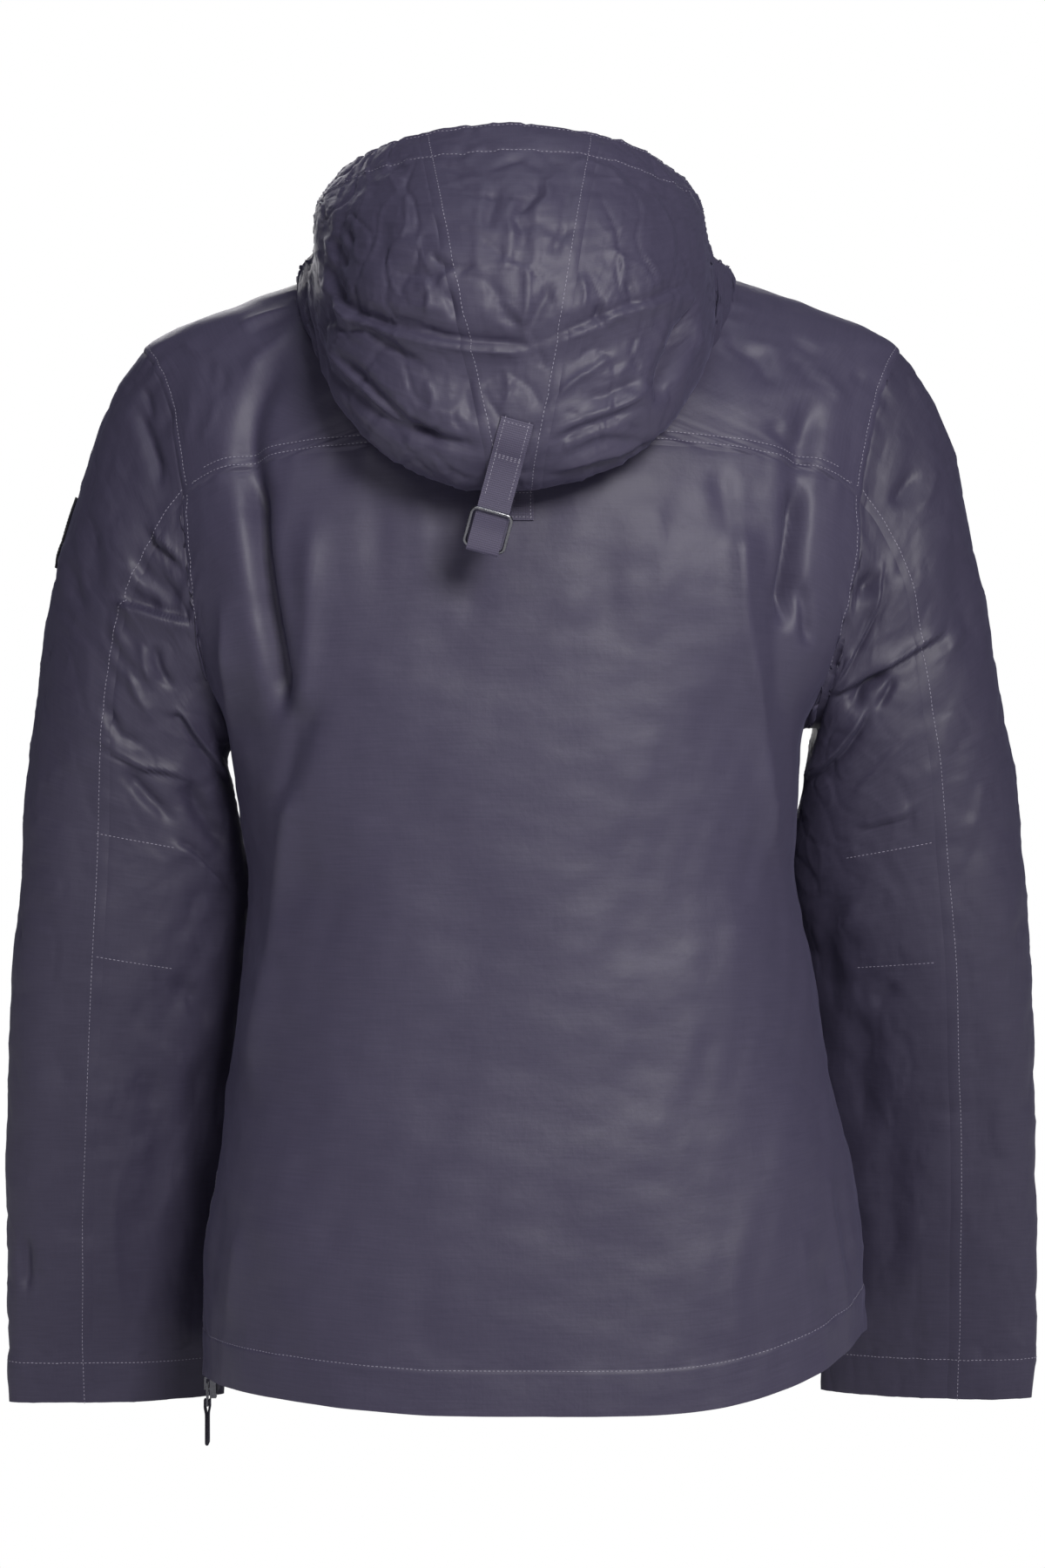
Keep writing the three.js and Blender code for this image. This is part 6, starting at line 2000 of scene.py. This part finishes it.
@dataclass(frozen=True)
class PolishedMetal:
    """Dark plated metal with fine uneven wear and scratches."""

    name: str
    colour: tuple[float, float, float]
    deep_colour: tuple[float, float, float]
    roughness: float = 0.26

    def make(self) -> bpy.types.Material:
        """Builds the material."""
        shader = Shader(self.name)
        wear = shader.noise(shader.objects, 420.0, 4.0)
        scratch = shader.noise(shader.objects, (300.0, 300.0, 3000.0), 2.0)
        tone = (wear * 0.8 + scratch * 0.3).clamped()
        rough = (self.roughness + (wear - 0.5) * 0.2 + (scratch - 0.5) * 0.15).clamped()
        return shader.finish({"Metallic": 1.0}, Base_Color=shader.blend(tone, self.deep_colour, self.colour),
                             Roughness=rough, Normal=shader.bump(scratch, 0.15, 0.00005))


@dataclass(frozen=True)
class SewingThread:
    """Twisted grey thread."""

    name: str
    colour: tuple[float, float, float]
    deep_colour: tuple[float, float, float]

    def make(self) -> bpy.types.Material:
        """Builds the material."""
        shader = Shader(self.name)
        twist = shader.noise(shader.objects, 2600.0, 2.0)
        fade = shader.noise(shader.objects, 40.0, 2.0)
        tone = (twist * 0.5 + fade * 0.5).clamped()
        rough = (0.55 + (twist - 0.5) * 0.2).clamped()
        return shader.finish({"Specular IOR Level": 0.4},
                             Base_Color=shader.blend(tone, self.deep_colour, self.colour), Roughness=rough,
                             Normal=shader.bump(twist, 0.3, 0.0001))


def make_finishes() -> dict[str, bpy.types.Material]:
    """All finishes by name; the first six carry their slot's name."""
    return {
        "shell": Taffeta("shell_taffeta", (0.069, 0.061, 0.104), (0.05, 0.044, 0.079)).make(),
        # Painted shade: the sleeve colour is the shell's own cloth darkened by about a quarter for the sleeves lying
        # in shadow.
        "sleeve_shell": Taffeta("sleeve_taffeta", (0.053, 0.047, 0.081), (0.038, 0.033, 0.061)).make(),
        "patch": Webbing("blank_patch", (0.016, 0.015, 0.02), (0.006, 0.006, 0.009), 0.0009, 0.75).make(),
        "zip_tape": Webbing("zip_tape", (0.032, 0.03, 0.042), (0.014, 0.013, 0.019), 0.0011, 0.65).make(),
        "pull_cord": Webbing("pull_webbing", (0.05, 0.046, 0.066), (0.018, 0.017, 0.026), 0.0012).make(),
        "gunmetal": PolishedMetal("gunmetal", (0.33, 0.33, 0.35), (0.16, 0.16, 0.17)).make(),
        "thread": SewingThread("stitch_thread", (0.38, 0.36, 0.44), (0.24, 0.23, 0.29)).make(),
        "webbing": Webbing("strap_webbing", (0.1, 0.088, 0.145), (0.045, 0.039, 0.068)).make(),
    }


@dataclass
class Studio:
    """Plain pale floor, soft light and the camera of the photo."""

    distance: float = 2.4
    level: float = -0.325
    lens: float = 84.2
    floor_z: float = -0.80

    def camera(self) -> None:
        """Places the camera behind the garment, level."""
        data = bpy.data.cameras.new("camera")
        data.lens, data.sensor_width = self.lens, 36.0
        data.clip_end = 60.0
        camera = bpy.data.objects.new("camera", data)
        camera.location = (0.0, self.distance, self.level)
        camera.rotation_euler = (math.radians(90), 0.0, math.radians(180))
        bpy.context.scene.collection.objects.link(camera)
        bpy.context.scene.camera = camera

    def lamp(self, name: str, place: tuple[float, float, float], aim: tuple[float, float, float],
             size: float, power_w: float, tint: tuple[float, float, float]) -> None:
        """Adds one soft square light that looks at a point."""
        data = bpy.data.lights.new(name, "AREA")
        data.shape, data.size, data.energy, data.color = "SQUARE", size, power_w, tint
        lamp = bpy.data.objects.new(name, data)
        away = np.array(place) - np.array(aim)
        yaw = math.atan2(away[1], away[0]) + math.pi / 2
        pitch = math.atan2(math.hypot(away[0], away[1]), away[2])
        lamp.location, lamp.rotation_euler = place, (pitch, 0.0, yaw)
        bpy.context.scene.collection.objects.link(lamp)

    def floor(self) -> None:
        """Adds the pale floor."""
        half = 20.0
        mesh = bpy.data.meshes.new("floor")
        corners = [(-half, -half), (half, -half), (half, half), (-half, half)]
        mesh.from_pydata([(x, y, self.floor_z) for x, y in corners], [], [(0, 1, 2, 3)])
        floor = new_object("floor", mesh)
        shader = Shader("floor")
        graph = shader.graph
        seen = graph.node("ShaderNodeLightPath").outputs["Is Camera Ray"]
        matt = graph.out("ShaderNodeBsdfDiffuse", Color=(0.85, 0.85, 0.87, 1), Roughness=0.6)
        pale = graph.out("ShaderNodeEmission", Color=(1, 1, 1, 1), Strength=1.0)
        graph.node("ShaderNodeOutputMaterial", Surface=graph.out("ShaderNodeMixShader", in_0=seen, in_1=matt, in_2=pale))
        mesh.materials.append(shader.material)

    def build(self) -> None:
        """Sets the camera, floor, lights and surroundings."""
        self.camera()
        self.floor()
        white, cool = (1.0, 0.985, 0.97), (0.86, 0.9, 1.0)
        self.lamp("key", (-1.2, 3.2, 1.1), (0, 0, -0.35), 1.1, 102.0, white)
        self.lamp("fill", (1.2, 3.2, 1.2), (0, 0, -0.3), 1.2, 10.0, white)
        self.lamp("top", (-0.2, 1.0, 2.3), (0, 0, -0.1), 0.9, 8.0, cool)
        self.lamp("front", (0.4, -3.0, 1.0), (0, 0, -0.3), 2.0, 60.0, white)
        self.surroundings(0.07)

    @staticmethod
    def surroundings(strength: float) -> None:
        """Sets a white background and dim light from all round."""
        world = bpy.data.worlds.new("studio")
        world.use_nodes = True
        graph = Graph(world.node_tree)
        seen = graph.node("ShaderNodeLightPath").outputs["Is Camera Ray"]
        pale = graph.out("ShaderNodeBackground", Color=(1, 1, 1, 1), Strength=1.0)
        dim = graph.out("ShaderNodeBackground", Color=(0.78, 0.8, 1.0, 1), Strength=strength)
        graph.node("ShaderNodeOutputWorld", Surface=graph.out("ShaderNodeMixShader", in_0=seen, in_1=dim, in_2=pale))
        bpy.context.scene.world = world
        bpy.context.scene.view_settings.view_transform = "Standard"


def node_finish(node: str, material: bpy.types.Material) -> None:
    """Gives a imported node's object a finish."""
    piece = frame["nodes"][node]
    piece.data.materials.clear()
    piece.data.materials.append(material)
    log.info("%s: packed shape kept, %s", node, material.name)


def main() -> None:
    """Builds the pieces in order."""
    logging.basicConfig(level=logging.INFO, format="%(message)s")
    Studio().build()
    finishes = make_finishes()
    cloth = AnorakCloth()
    cloth.build_forms()
    cloth.crease()
    cloth.sew()
    cloth.dress(finishes)
    tree = StitchTree("stitches")
    Topstitching(cloth).sew(tree, finishes["thread"])
    HoodStrap().build(cloth, tree, finishes)
    SleevePatch().build(cloth, tree, finishes)
    SideZip().build(cloth.body, finishes)
    for node in ("side_zip_slider", "side_zip_pull"):
        node_finish(node, finishes["gunmetal"])


if __name__ == "__main__":
    main()
